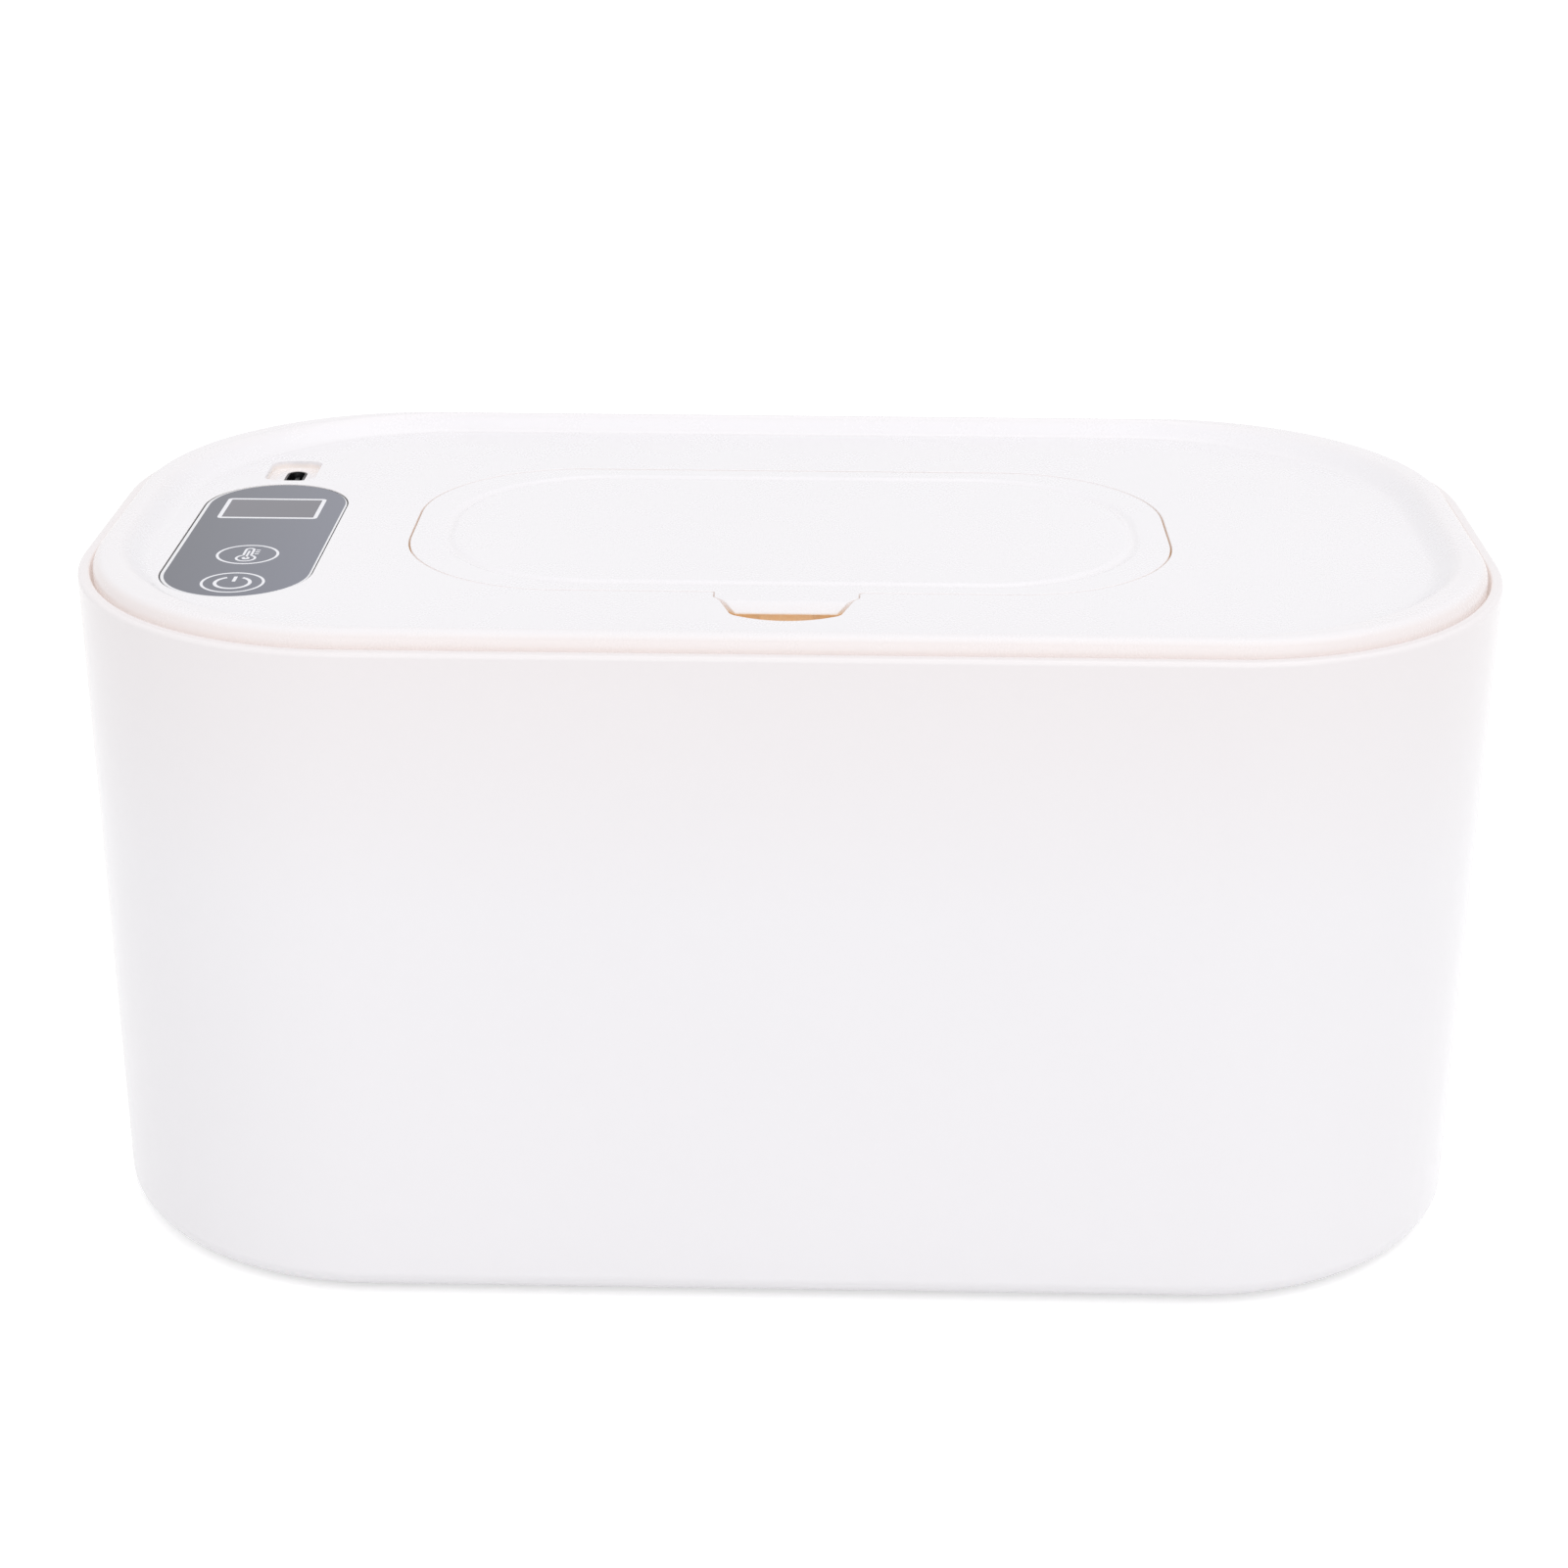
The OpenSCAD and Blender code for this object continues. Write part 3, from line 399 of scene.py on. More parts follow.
def all_finishes(colours):
    """Makes every finish of the part."""
    f = Finishes(colours.painted_edge_warmth, colours.hollow)
    f.moulding("case_white", colours.plastic, gloss=(0.2, 0.24), waves=0.12, grain=0.1, warmth=f.case_painted_warmth)
    f.moulding("lid_white", colours.plastic, gloss=(0.24, 0.3), waves=0.12, grain=0.15, warmth=f.lid_painted_warmth)
    f.moulding("liner_white", colours.liner, gloss=(0.4, 0.55), grain=0.5)
    f.moulding("soft_silicone", colours.silicone, gloss=(0.45, 0.6), grain=0.4, Subsurface_Weight=0.3,
               Subsurface_Scale=0.002)
    f.moulding("foot_rubber", colours.rubber, drift=0.93, gloss=(0.6, 0.8), grain=1.0, depth=0.00008)
    f.printed("film_colour", colours.film, 0.82, 1.36)
    # Pale film whose border round the print is a painted highlight along the film's edge
    f.printed("film_clear", (0.84, 0.84, 0.87))
    f.printed("window_print", (0.125, 0.12, 0.15))
    # Black of the bead round the film: painted shade in the gap
    f.moulding("edge_black", (0.012, 0.012, 0.013), drift=0.8, gloss=(0.5, 0.7))
    f.moulding("print_ink", colours.print_ink, drift=0.97, gloss=(0.2, 0.3), waves=0.2, grain=0.0)
    f.moulding("display_dark", (0.12, 0.12, 0.13), drift=0.9, gloss=(0.1, 0.2), waves=0.2)
    f.moulding("tongue_black", (0.01, 0.01, 0.011), drift=0.8, gloss=(0.25, 0.4))
    f.moulding("board_green", (0.03, 0.16, 0.06), drift=0.85, gloss=(0.2, 0.4), grain=0.8)
    f.moulding("heater_amber", (0.62, 0.3, 0.05), drift=0.85, gloss=(0.15, 0.3), waves=2.0, depth=0.00006)
    f.moulding("sensor_black", (0.015, 0.015, 0.016), drift=0.8, gloss=(0.2, 0.3))
    f.moulding("lead_red", (0.5, 0.03, 0.025), drift=0.9, gloss=(0.35, 0.5))
    f.moulding("lead_white", (0.78, 0.78, 0.77), drift=0.93, gloss=(0.35, 0.5))
    f.metal("steel", (0.62, 0.63, 0.65))
    f.metal("socket_metal", (0.09, 0.09, 0.095), (0.3, 0.45))
    f.metal("spring_steel", (0.55, 0.53, 0.48), (0.15, 0.3))
    f.metal("plate_aluminium", (0.78, 0.79, 0.81), (0.3, 0.5))
    f.felt("pressed_felt", (0.78, 0.77, 0.74))


def finish_named(name):
    """A finish that the first operator has made."""
    return bpy.data.materials[name + FINISH]


# Finish of each carried-over CAD node
INNER = {
    "lid_liner": "liner_white", "flap_liner": "liner_white", "lid_gasket": "soft_silicone",
    "flap_seal": "soft_silicone", "rubber_feet": "foot_rubber", "display_module": "display_dark",
    "touch_springs": "spring_steel", "hinge_pins": "steel", "thermal_fuse": "steel", "liner_screws": "steel",
    "board_screws": "steel", "power_port": "socket_metal", "control_board": "board_green",
    "port_tongue": "tongue_black", "heater_plate": "plate_aluminium", "heater_film": "heater_amber",
    "insulation_sheet": "pressed_felt", "temperature_sensor": "sensor_black", "heater_leads": "lead_red",
    "sensor_leads": "lead_white",
}


def dress(node, finish):
    """Gives a carried-over CAD node its finish."""
    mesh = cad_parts[node].data
    mesh.materials.clear()
    mesh.materials.append(finish_named(finish))


# ---------------------------------------------------------------- surfaces


def linked(name, data):
    """A new object in the scene."""
    made = bpy.data.objects.new(name, data)
    bpy.context.scene.collection.objects.link(made)
    return made


def track(corners, closed=False):
    """Outline through corners (x, y, radius, steps), with an arc of that radius at each corner.
    Arc point = centre + radius (cos a, sin a), with a even between the two sides' directions. Radius 0 keeps a
    plain point on a straight side. Returns the points and the directions to the right of the way."""
    at = np.array([c[:2] for c in corners], float)
    ahead = np.roll(at, -1, 0) - at
    ahead /= np.maximum(np.linalg.norm(ahead, axis=1), 1e-12)[:, None]
    points, outs = [], []
    for i, corner in enumerate(corners):
        radius, steps = (*corner[2:], *(0, ARC)[max(0, len(corner) - 2):])
        u = ahead[i - 1] if closed or i else ahead[i]
        v = ahead[i] if closed or i < len(corners) - 1 else u
        if not radius:
            points.append(at[i:i + 1])
            outs.append(np.array([[v[1], -v[0]]]))
            continue
        turn = np.arctan2(u[0] * v[1] - u[1] * v[0], u @ v)
        side = np.sign(turn)
        start = np.array([u[1], -u[0]])
        a = np.linspace(0, turn, steps + 1)
        out = np.stack([start[0] * np.cos(a) - start[1] * np.sin(a),
                        start[0] * np.sin(a) + start[1] * np.cos(a)], 1)
        centre = at[i] - u * radius * abs(np.tan(turn / 2)) - start * side * radius
        points.append(centre + side * radius * out)
        outs.append(out)
    points, outs = np.concatenate(points), np.concatenate(outs)
    new = np.linalg.norm(points - np.roll(points, 1, 0), axis=1) > 1e-7
    if not closed:
        new[0] = True
    return points[new], outs[new]


def ring(a, b, r, at=(0.0, 0.0)):
    """Rounded rectangle of half sizes a and b and corner radius r round a centre, anticlockwise."""
    x, y = at
    return track([(x + a, y - b, r), (x + a, y + b, r), (x - a, y + b, r), (x - a, y - b, r)], closed=True)


def arc(x, y, r, a):
    """Points at the angles a round a centre: centre + r (cos a, sin a)."""
    out = np.stack([np.cos(a), np.sin(a)], 1)
    return np.array([x, y]) + r * out, out


def circle(x, y, r, steps=24):
    """Circle round a centre, anticlockwise."""
    return arc(x, y, r, np.linspace(0, 2 * np.pi, steps, endpoint=False))


def oval(x, y, a, b, steps=64):
    """Ellipse of half sizes a and b: centre + (a cos t, b sin t), with its outward directions."""
    t = np.linspace(0, 2 * np.pi, steps, endpoint=False)
    out = np.stack([b * np.cos(t), a * np.sin(t)], 1)
    return np.stack([x + a * np.cos(t), y + b * np.sin(t)], 1), out / np.linalg.norm(out, axis=1)[:, None]


def corners_of(centre, a, b):
    """Corners of a rectangle of half sizes a and b, anticlockwise."""
    return [(centre[0] + sx * a, centre[1] + sy * b) for sx, sy in ((1, -1), (1, 1), (-1, 1), (-1, -1))]


def offset(outline, by):
    """The outline's points, moved outwards."""
    return outline[0] + outline[1] * by


def joined(*tracks):
    """Open outlines end to end as one closed outline."""
    return np.concatenate([t[0][:-1] for t in tracks]), np.concatenate([t[1][:-1] for t in tracks])


class Section:
    """A section drawn step by step. Its x is the distance outwards from an outline, and its y is height."""

    def __init__(self, x, y):
        self.x, self.y = x, y
        self.parts = []

    def add(self, points, slopes):
        """Takes in one smooth part, as its points and its slopes."""
        self.parts.append((points, slopes))
        self.x, self.y = points[-1]
        return self

    def to(self, *stops):
        """Straight on to each stop in turn."""
        for stop in stops:
            points = np.array([(self.x, self.y), stop], float)
            self.add(points, np.repeat(points[1:] - points[:1], 2, 0))
        return self

    def round(self, x, y, leaves="y", steps=8):
        """Quarter of an ellipse to (x, y), which leaves along that axis.
        x = x0 + dx (1 - cos t), y = y0 + dy sin t, or the same with the axes swapped."""
        t = np.linspace(0, np.pi / 2, steps + 1)
        d = np.array([x - self.x, y - self.y])
        slow, fast = (0, 1) if leaves == "y" else (1, 0)
        points, slopes = np.empty((steps + 1, 2)), np.empty((steps + 1, 2))
        points[:, slow] = (self.x, self.y)[slow] + d[slow] * (1 - np.cos(t))
        points[:, fast] = (self.x, self.y)[fast] + d[fast] * np.sin(t)
        slopes[:, slow], slopes[:, fast] = d[slow] * np.sin(t), d[fast] * np.cos(t)
        return self.add(points, slopes)


def box_section(x0, x1, low, high):
    """Closed rectangular section."""
    return Section(x0, low).to((x1, low), (x1, high), (x0, high), (x0, low))


def flat_fill(loops, lines=()):
    """Triangles of the plane region that an odd number of the loops goes round: a Delaunay triangulation with
    the loops and lines as edges. Returns its points and triangles."""
    points, edges = [], []
    for shape, whole in [(p, True) for p in loops] + [(p, False) for p in lines]:
        first, n = len(points), len(shape)
        points.extend(shape.tolist())
        edges.extend((first + i, first + (i + 1) % n) for i in range(n if whole else n - 1))
    given = np.array(points)
    made = delaunay_2d_cdt([Vector(p) for p in points], edges, [], 0, 1e-6, True)
    flat = np.array([given[old[0]] if old else tuple(co) for co, old in zip(made[0], made[3])])
    faces = np.array([f[:] for f in made[2]])
    middle = flat[faces].mean(1)
    inside = np.zeros(len(faces), bool)
    for loop in loops:
        p, q = loop, np.roll(loop, -1, 0)
        x, y = middle[:, :1], middle[:, 1:]
        spans = (p[:, 1] > y) != (q[:, 1] > y)
        rise = np.where(q[:, 1] == p[:, 1], 1.0, q[:, 1] - p[:, 1])
        inside ^= (spans & (x < p[:, 0] + (y - p[:, 1]) * (q[:, 0] - p[:, 0]) / rise)).sum(1) % 2 == 1
    return flat, faces[inside]


class Skin:
    """Gathers patches of surface, in millimetres, into one mesh. Each patch brings the surface's direction at
    its points, so that roundings shade as true curves. Points that meet are made one."""

    def __init__(self):
        self.points, self.ways, self.faces, self.count = [], [], [], 0

    def add(self, points, ways, faces):
        """A patch. Faces are turned to agree with the directions."""
        faces = np.asarray(faces)
        if faces.shape[1] == 3:
            faces = np.concatenate([faces, faces[:, 2:]], 1)
        p = points[faces]
        own = np.cross(p[:, 2] - p[:, 0], p[:, 3] - p[:, 1])
        own += np.cross(p[:, 1] - p[:, 0], p[:, 2] - p[:, 0])
        wrong = (own * ways[faces].sum(1)).sum(1) < 0
        faces = np.where(wrong[:, None], faces[:, ::-1], faces)
        self.points.append(points)
        self.ways.append(ways / np.linalg.norm(ways, axis=1)[:, None])
        self.faces.append(faces + self.count)
        self.count += len(points)

    def grid(self, points, ways, closed, left_out=None):
        """A grid of points, rows by columns, whose columns run round if it is closed. left_out is a mask of
        quads that stay open."""
        rows, columns = points.shape[:2]
        index = np.arange(rows * columns).reshape(rows, columns)
        beside = np.roll(index, -1, 1)
        quads = np.stack([index[:-1], beside[:-1], beside[1:], index[1:]], -1)
        if not closed:
            quads = quads[:, :-1]
        if left_out is not None:
            quads = quads[~left_out[:, :quads.shape[1]]]
        self.add(points.reshape(-1, 3), ways.reshape(-1, 3), quads.reshape(-1, 4))

    def carry(self, section, outline, closed=True, place=None, left_out=None, change=None):
        """Carries a section along an outline: point = outline + out x, at height y, and the direction is that of
        the outline's way crossed with the section's slope."""
        at, out = outline
        for k, (points, slopes) in enumerate(section.parts):
            p = np.empty((len(points), len(at), 3))
            p[..., :2] = at[None] + points[:, None, :1] * out[None]
            p[..., 2] = points[:, 1:]
            w = np.empty_like(p)
            w[..., :2] = slopes[:, None, 1:] * out[None]
            w[..., 2] = -slopes[:, :1]
            if change:
                p = change(p)
            if place:
                p, w = place(p), place(w) - place(np.zeros(3))
            self.grid(p, w, closed, left_out if k == len(section.parts) - 1 else None)
        return self

    def plate(self, loops, height, up, place=None):
        """A flat face between loops, at a height. up is 1 or -1."""
        flat, faces = flat_fill(loops)
        p = np.concatenate([flat, np.full((len(flat), 1), float(height))], 1)
        w = np.tile([0.0, 0.0, float(up)], (len(flat), 1))
        if place:
            p, w = place(p), place(w) - place(np.zeros(3))
        self.add(p, w, faces)

    def ends(self, loop, low, high, place=None):
        """Flat faces that close a form above and below."""
        self.plate([loop], high, 1, place)
        self.plate([loop], low, -1, place)

    def wall(self, start, end, *levels):
        """An upright flat face from start to end. It faces to the right of the way where the levels go up, and to
        the left where they go down."""
        self.carry(Section(0, levels[0]).to(*[(0, z) for z in levels[1:]]), track([start, end]), closed=False)

    def object(self, name, finish, body):
        """The mesh object, in metres, with its faces' directions and its finish, riding on a body."""
        points = np.concatenate(self.points) * MM
        ways, faces = np.concatenate(self.ways), np.concatenate(self.faces)
        near = [np.unique(np.round(points / 1e-6 + shift).astype(np.int64), axis=0, return_inverse=True)[1].ravel()
                for shift in (0.0, 0.5)]
        label = near[0]
        for meet in (near[1], near[0], near[1]):
            least = np.full(meet.max() + 1, len(points))
            np.minimum.at(least, meet, label)
            label = least[meet]
        _, first, label = np.unique(label, return_index=True, return_inverse=True)
        corner = label.ravel()[faces]
        used = corner != np.roll(corner, -1, 1)
        whole = used.sum(1) > 2
        corner, used, faces = corner[whole], used[whole], faces[whole]
        mesh = bpy.data.meshes.new(name)
        mesh.vertices.add(len(first))
        mesh.vertices.foreach_set("co", points[first].ravel())
        mesh.loops.add(int(used.sum()))
        mesh.loops.foreach_set("vertex_index", corner[used])
        mesh.polygons.add(len(corner))
        mesh.polygons.foreach_set("loop_start", np.concatenate([[0], np.cumsum(used.sum(1))[:-1]]))
        mesh.update(calc_edges=True)
        if mesh.validate():
            raise RuntimeError(f"{name} has faces that are not sound")
        mesh.polygons.foreach_set("use_smooth", np.ones(len(corner), bool))
        mesh.normals_split_custom_set(ways[faces[used]].tolist())
        mesh.materials.append(finish_named(finish))
        made = linked(name, mesh)
        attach(made, body)
        return made


# ------------------------------------------------------------------ pieces

# In millimetres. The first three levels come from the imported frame
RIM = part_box("case_shell")[1].z / MM
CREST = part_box("lid_cover")[1].z / MM
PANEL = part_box("flap_cover")[1].z / MM
LEDGE = RIM - 7.0
CEILING = PANEL - 2.0
SILL = 102.2
WELL = 95.1
# Half width, half depth and corner radius
CASE = (107.5, 60.0, 45.0)
LID = (105.2, 57.7, 42.7)
# Half width, front, back and corner radius of the opening round the flap, and of the flap itself
OPENING = (59.1, -30.5, 31.9, 25.0)
FLAP = (58.8, -30.2, 31.4, 24.5)
# Half width, half depth, corner radius and middle
GROOVE = (53.4, 26.8, 24.0, (0, 0.4))
THROAT = (46.0, 20.0, 18.0, (0, -1.0))
# Half width of the finger recess, and of its mouth in the opening's front
RECESS_R = 10.8
MOUTH = 11.4
RECESS_Y = -32.0
# Front of the finger recess: leaning sides, corners, and a wide bow of radius 13.5
RECESS_FRONT = [(-RECESS_R, -32.6, 1.4, 4), (-9.85, -34.0, 3.0, 4), (-7.9, -40.5, 2.4, 8), (0.0, -44.86, 13.5, 24),
                (7.9, -40.5, 2.4, 8), (9.85, -34.0, 3.0, 4), (RECESS_R, -32.6, 1.4, 4)]
# Half width and underside of the flap's tab, and the line and slope of its bend
TAB = 10.6
TAB_FOOT = 102.4
CREASE = -34.3
BEVEL = 1.3 / 1.9
ARM_X = (-28.0, 28.0)
AXIS = np.array([0.0, 37.9, 99.6])
FILM = (-82.7, -7.0)
# Half width, front, back and floor of a hinge pocket
POCKET, POCKET_FRONT, POCKET_BACK, POCKET_FLOOR = 2.6, 23.88, 40.5, 90.12
FEET = [(sx * 82.0, sy * 36.0) for sx in (-1, 1) for sy in (-1, 1)]
SCREWS = corners_of((0, 0), 86.05, 38.55) + corners_of((0, 0), 45.0, 48.3)
BOARD_POSTS = [(FILM[0] + sx * 8.3, y) for sx in (-1, 1) for y in (-21.9, 18.85)]
FILM_TOP = PANEL - 0.1
FILM_FOOT = PANEL - 0.5
PRINT_FOOT = FILM_TOP - 0.01
DISPLAY = (-82.7, 8.1)
WINDOW = (-83.0, 8.1)
PORT = (-83.2, 29.1)


def sideways(centre=(0, 0, 0)):
    """Places a drawing made in the plane (y, z), with its height along x, at a centre."""
    return lambda p: np.asarray(p)[..., [2, 0, 1]] + centre


def prism(skin, corners, x, half, edge=0.0, centre=(0, 0, 0)):
    """A block of an outline in (y, z) from x - half to x + half, with its edges rounded."""
    outline = track(corners, closed=True)
    place = sideways(np.array(centre) + [x, 0, 0])
    section = Section(-edge, -half)
    if edge:
        section.round(0, edge - half, "x", 3)
    section.to((0, half - edge))
    if edge:
        section.round(-edge, half, "y", 3)
    skin.carry(section, outline, place=place)
    skin.ends(offset(outline, -edge), -half, half, place)


def tube(skin, x, y, outer, inner, low):
    """An upright tube under the ceiling: its closed section is carried round a circle."""
    skin.carry(box_section(inner, outer, low, CEILING + 0.5), circle(x, y, 1e-9))


def build_case(soft):
    """Case: one section from under the floor, up the leaning wall, over the rim, down to the ledge and inside
    to the floor, carried round the plan's rounded rectangle."""
    skin, plan = Skin(), ring(*CASE)
    base, floor, pad_top = 1.0, 3.6, 1.6
    foot, lip, shelf, corner = -3.7, -1.8, -4.4, -5.5
    section = Section(foot, base).round(-0.4, 4.3, "x", 10).to((-0.003, RIM - soft)).round(-soft, RIM, "y", 8)
    section.to((-1.5, RIM)).round(lip, RIM - 0.3, "x", 4).to((lip, LEDGE + 0.2), (lip, LEDGE), (-4.2, LEDGE))
    section.round(shelf, LEDGE - 0.2, "x", 3).to((shelf, LEDGE - 4.0), (-2.627, LEDGE - 5.773), (-3.0, 6.1))
    skin.carry(section.round(corner, floor, "y", 8), plan)
    skin.plate([offset(plan, corner)], floor, 1)
    pads = [circle(x, y, 6.1, 40) for x, y in FEET]
    skin.plate([offset(plan, foot)] + [p for p, _ in pads], base, -1)
    for pad in pads:
        skin.carry(Section(0, pad_top).to((0, base)), pad)
        skin.plate([pad[0]], pad_top, -1)
    return skin.object("case", "case_white", "tub")


def well_tracks():
    """The two parts of the opening in the panel: round the flap, and round the finger recess, with the opening's
    own corner radius at the flap and 0.6 where the recess leaves it."""
    a, front, back, r = OPENING
    pockets = [(x + s * POCKET, back) for x in ARM_X[::-1] for s in (1, -1)]
    flap = track([(MOUTH, front), (a, front, r), (a, back, r), *pockets, (-a, back, r), (-a, front, r),
                  (-MOUTH, front)])
    tongue = track([(-MOUTH, front), (-RECESS_R, front, 0.6, 5), (-RECESS_R, RECESS_Y), *RECESS_FRONT,
                    (RECESS_R, RECESS_Y), (RECESS_R, front, 0.6, 5), (MOUTH, front)])
    return flap, tongue


def slope_ring(k):
    """Outline of the border's slope, k of the way from its foot to the crest."""
    return ring(96.9 + 4.4 * k, 53.0 + 2.0 * k, 42.0 + 1.3 * k)


def build_lid(edge):
    """Lid cover. Its outer wall and crest are a section carried round the plan; the slope between crest and
    panel is a cubic curve in (k, height) between two outlines; the panel, the well's floor and the ceiling are
    flat fills between the outlines of what is cut into them."""
    skin, plan = Skin(), ring(*LID)
    flange, inside, crest_round = -3.9, -2.0, 2.3
    side = Section(flange, CEILING).to((flange, CEILING + 1.4), (inside, CEILING + 1.4), (inside, LEDGE), (0, LEDGE),
                                       (0, CREST - crest_round))
    skin.carry(side.round(-crest_round, CREST, "y", 12), plan)
    # Slope: a cubic curve of the weights below
    t = np.linspace(0, 1, 21)[:, None]
    curve = ((1 - t) ** 3 * [1.15, 1.0] + 3 * t * (1 - t) ** 2 * [0.8, 0.98] + 3 * t * t * (1 - t) * [0.42, 0.0]
             + t ** 3 * [0.05, 0.0])
    rings = [slope_ring(k) for k in curve[:, 0]]
    points = np.stack([np.column_stack([r[0], np.full(len(r[0]), PANEL + h * (CREST - PANEL))])
                       for r, h in zip(rings, curve[:, 1])])
    along = np.column_stack([-rings[0][1][:, 1], rings[0][1][:, 0], np.zeros(len(rings[0][1]))])
    rate = np.gradient(points, axis=0, edge_order=2)
    rate[[0, -1], :, 2] = 0
    skin.grid(points, np.cross(along[None], rate), True)
    # Level top between the slope and the rounding
    level = np.stack([offset(plan, -crest_round), rings[0][0]])
    level = np.concatenate([level, np.full((*level.shape[:2], 1), CREST)], 2)
    skin.grid(level, np.tile([0.0, 0.0, 1.0], (*level.shape[:2], 1)), True)

    # Panel with its openings, the film's seat and the port's pocket
    flap, tongue = well_tracks()
    film, port, slot = ring(11.5, 28.2, 11.49, FILM), ring(4.1, 5.7, 2.4, PORT), ring(1.7, 4.57, 1.69, PORT)
    soft, port_floor = 0.25, PANEL - 1.6
    skin.plate([rings[-1][0], offset(joined(flap, tongue), edge), offset(film, 0.1), offset(port, soft)], PANEL, 1)
    skin.carry(Section(0.1, PANEL).round(0, PANEL - 0.1, "x", 4).to((0, FILM_FOOT)), film)
    window = corners_of(DISPLAY, 8.1, 5.55)
    skin.plate([film[0], np.array(window)], FILM_FOOT, 1)
    for i in range(4):
        skin.wall(window[i - 1], window[i], FILM_FOOT, CEILING)
    skin.carry(Section(soft, PANEL).round(0, PANEL - soft, "x").to((0, port_floor + 0.4))
               .round(-0.4, port_floor, "y"), port)
    skin.plate([offset(port, -0.4), slot[0]], port_floor, 1)
    skin.carry(Section(0, port_floor).to((0, CEILING)), slot)

    # Well round the flap, with the openings of the hinge pockets
    a, front, back, r = OPENING
    x, y = flap[0].T
    mid = np.abs(x + np.roll(x, -1)) / 2
    open_columns = (y > back - 0.1) & (np.roll(y, -1) > back - 0.1) & (np.abs(mid - ARM_X[1]) < 2.0)
    lip = Section(edge, PANEL).round(0, PANEL - edge, "x", 5).to((0, SILL))
    skin.carry(lip, tongue, closed=False)
    skin.carry(lip.to((0, CEILING), (0, WELL)), flap, closed=False, left_out=open_columns[None])
    skin.wall((-MOUTH, front), (MOUTH, front), SILL, CEILING, WELL)
    notches = [(x0 + sx * POCKET, y0) for x0 in ARM_X[::-1]
               for sx, y0 in ((1, back), (1, POCKET_FRONT), (-1, POCKET_FRONT), (-1, back))]
    shore = track([(-MOUTH, front), (MOUTH, front), (a, front, r), (a, back, r), *notches, (-a, back, r),
                   (-a, front, r)], closed=True)
    # Throat, down through the liner
    throat, w, top, foot, block_foot = ring(*THROAT), 1.6, 98.5, 84.9, 93.5
    skin.plate([shore[0], offset(throat, w)], WELL, 1)
    lips = Section(w, WELL).to((w, top)).round(w - 0.6, top + 0.6, "y", 6).to((0.6, top + 0.6)).round(0, top, "x", 6)
    lips.to((0, foot)).round(0.4, foot - 0.4, "y", 4).to((w - 0.4, foot - 0.4)).round(w, foot, "x", 4)
    skin.carry(lips.to((w, block_foot)), throat)
    # Finger recess: bowed wall with a rounded foot, floor, sill and catch
    half = track([(-RECESS_R, RECESS_Y), *RECESS_FRONT, (RECESS_R, RECESS_Y)])
    bow = Section(0, SILL).to((0, WELL + 1.2)).round(-1.2, WELL, "y", 8)
    skin.carry(bow, half, closed=False)
    skin.plate([offset(half, -1.2)], WELL, 1)
    bow = bow.parts[1][0]
    side = np.concatenate([[(-RECESS_R, SILL)], bow * [-1, 1] - [RECESS_R, 0], bow[::-1] + [RECESS_R, 0],
                           [(RECESS_R, SILL)]])
    skin.plate([side], -RECESS_Y, 1, lambda p: np.asarray(p)[..., [0, 2, 1]] * [1, -1, 1])
    near = tongue[0][(np.abs(tongue[0][:, 0]) >= RECESS_R - 1e-6) & (tongue[0][:, 1] >= RECESS_Y - 1e-6)]
    skin.plate([near], SILL, 1)
    prism(skin, circle(-32.0, 101.5, 0.35, 12)[0], 0.0, 4.0)
    # Hinge pockets
    low, rear = POCKET_FLOOR, POCKET_BACK
    outline = np.array([(POCKET_FRONT, low), (rear, low), (rear, CEILING), (back, CEILING), (back, WELL),
                        (POCKET_FRONT, WELL)])
    for x0 in ARM_X:
        a, b = x0 - POCKET, x0 + POCKET
        skin.plate([outline], a, 1, sideways())
        skin.plate([outline], b, -1, sideways())
        skin.plate([np.array([(a, POCKET_FRONT), (b, POCKET_FRONT), (b, rear), (a, rear)])], low, 1)
        skin.plate([np.array([(a, back), (b, back), (b, rear), (a, rear)])], CEILING, -1)
        skin.wall((a, rear), (b, rear), low, CEILING)
        skin.wall((b, POCKET_FRONT), (a, POCKET_FRONT), low, WELL)
        prism(skin, [(22.68, 88.92), (41.7, 88.92), (41.7, 102.2), (33.2, 102.2), (32.2, 94.4), (22.68, 94.4)],
              x0, 4.6)
    # Underside: block round the well with a bay round the recess, posts, and the ceiling
    bay_r = 12.4
    bend = np.degrees(np.arcsin(0.7 / bay_r))
    bay = arc(0.0, RECESS_Y, bay_r, np.radians(np.linspace(180 + bend, 360 - bend, 41)))
    around = track([tuple(bay[0][-1]), (61.3, -32.7, 26.6), (61.3, 33.5, 26.6), (-61.3, 33.5, 26.6),
                    (-61.3, -32.7, 26.6), tuple(bay[0][0])])
    for outline in (around, bay):
        skin.carry(Section(0, block_foot).to((0, CEILING)), outline, closed=False)
    block = np.concatenate([around[0], bay[0][1:-1]])
    skin.plate([block, offset(throat, w)], block_foot, -1)
    skin.plate([offset(plan, flange), block, np.array(window), slot[0]], CEILING, -1)
    for x0, y0 in SCREWS:
        tube(skin, x0, y0, 3.4, 1.25, 86.5)
    for x0, y0 in BOARD_POSTS:
        tube(skin, x0, y0, 2.2, 0.85, 95.7)
    return skin.object("lid_top", "lid_white", "lid")


def tab_drop(y, soft=0.3):
    """How far the tab's top lies under the panel, and its steepness: level, then a slope past the crease, joined by
    a parabola of half length soft."""
    past = CREASE - np.asarray(y)
    blend = np.clip((past + soft) / (2 * soft), 0, 1)
    drop = np.where(past > soft, BEVEL * past, BEVEL * soft * blend ** 2)
    return drop, BEVEL * blend


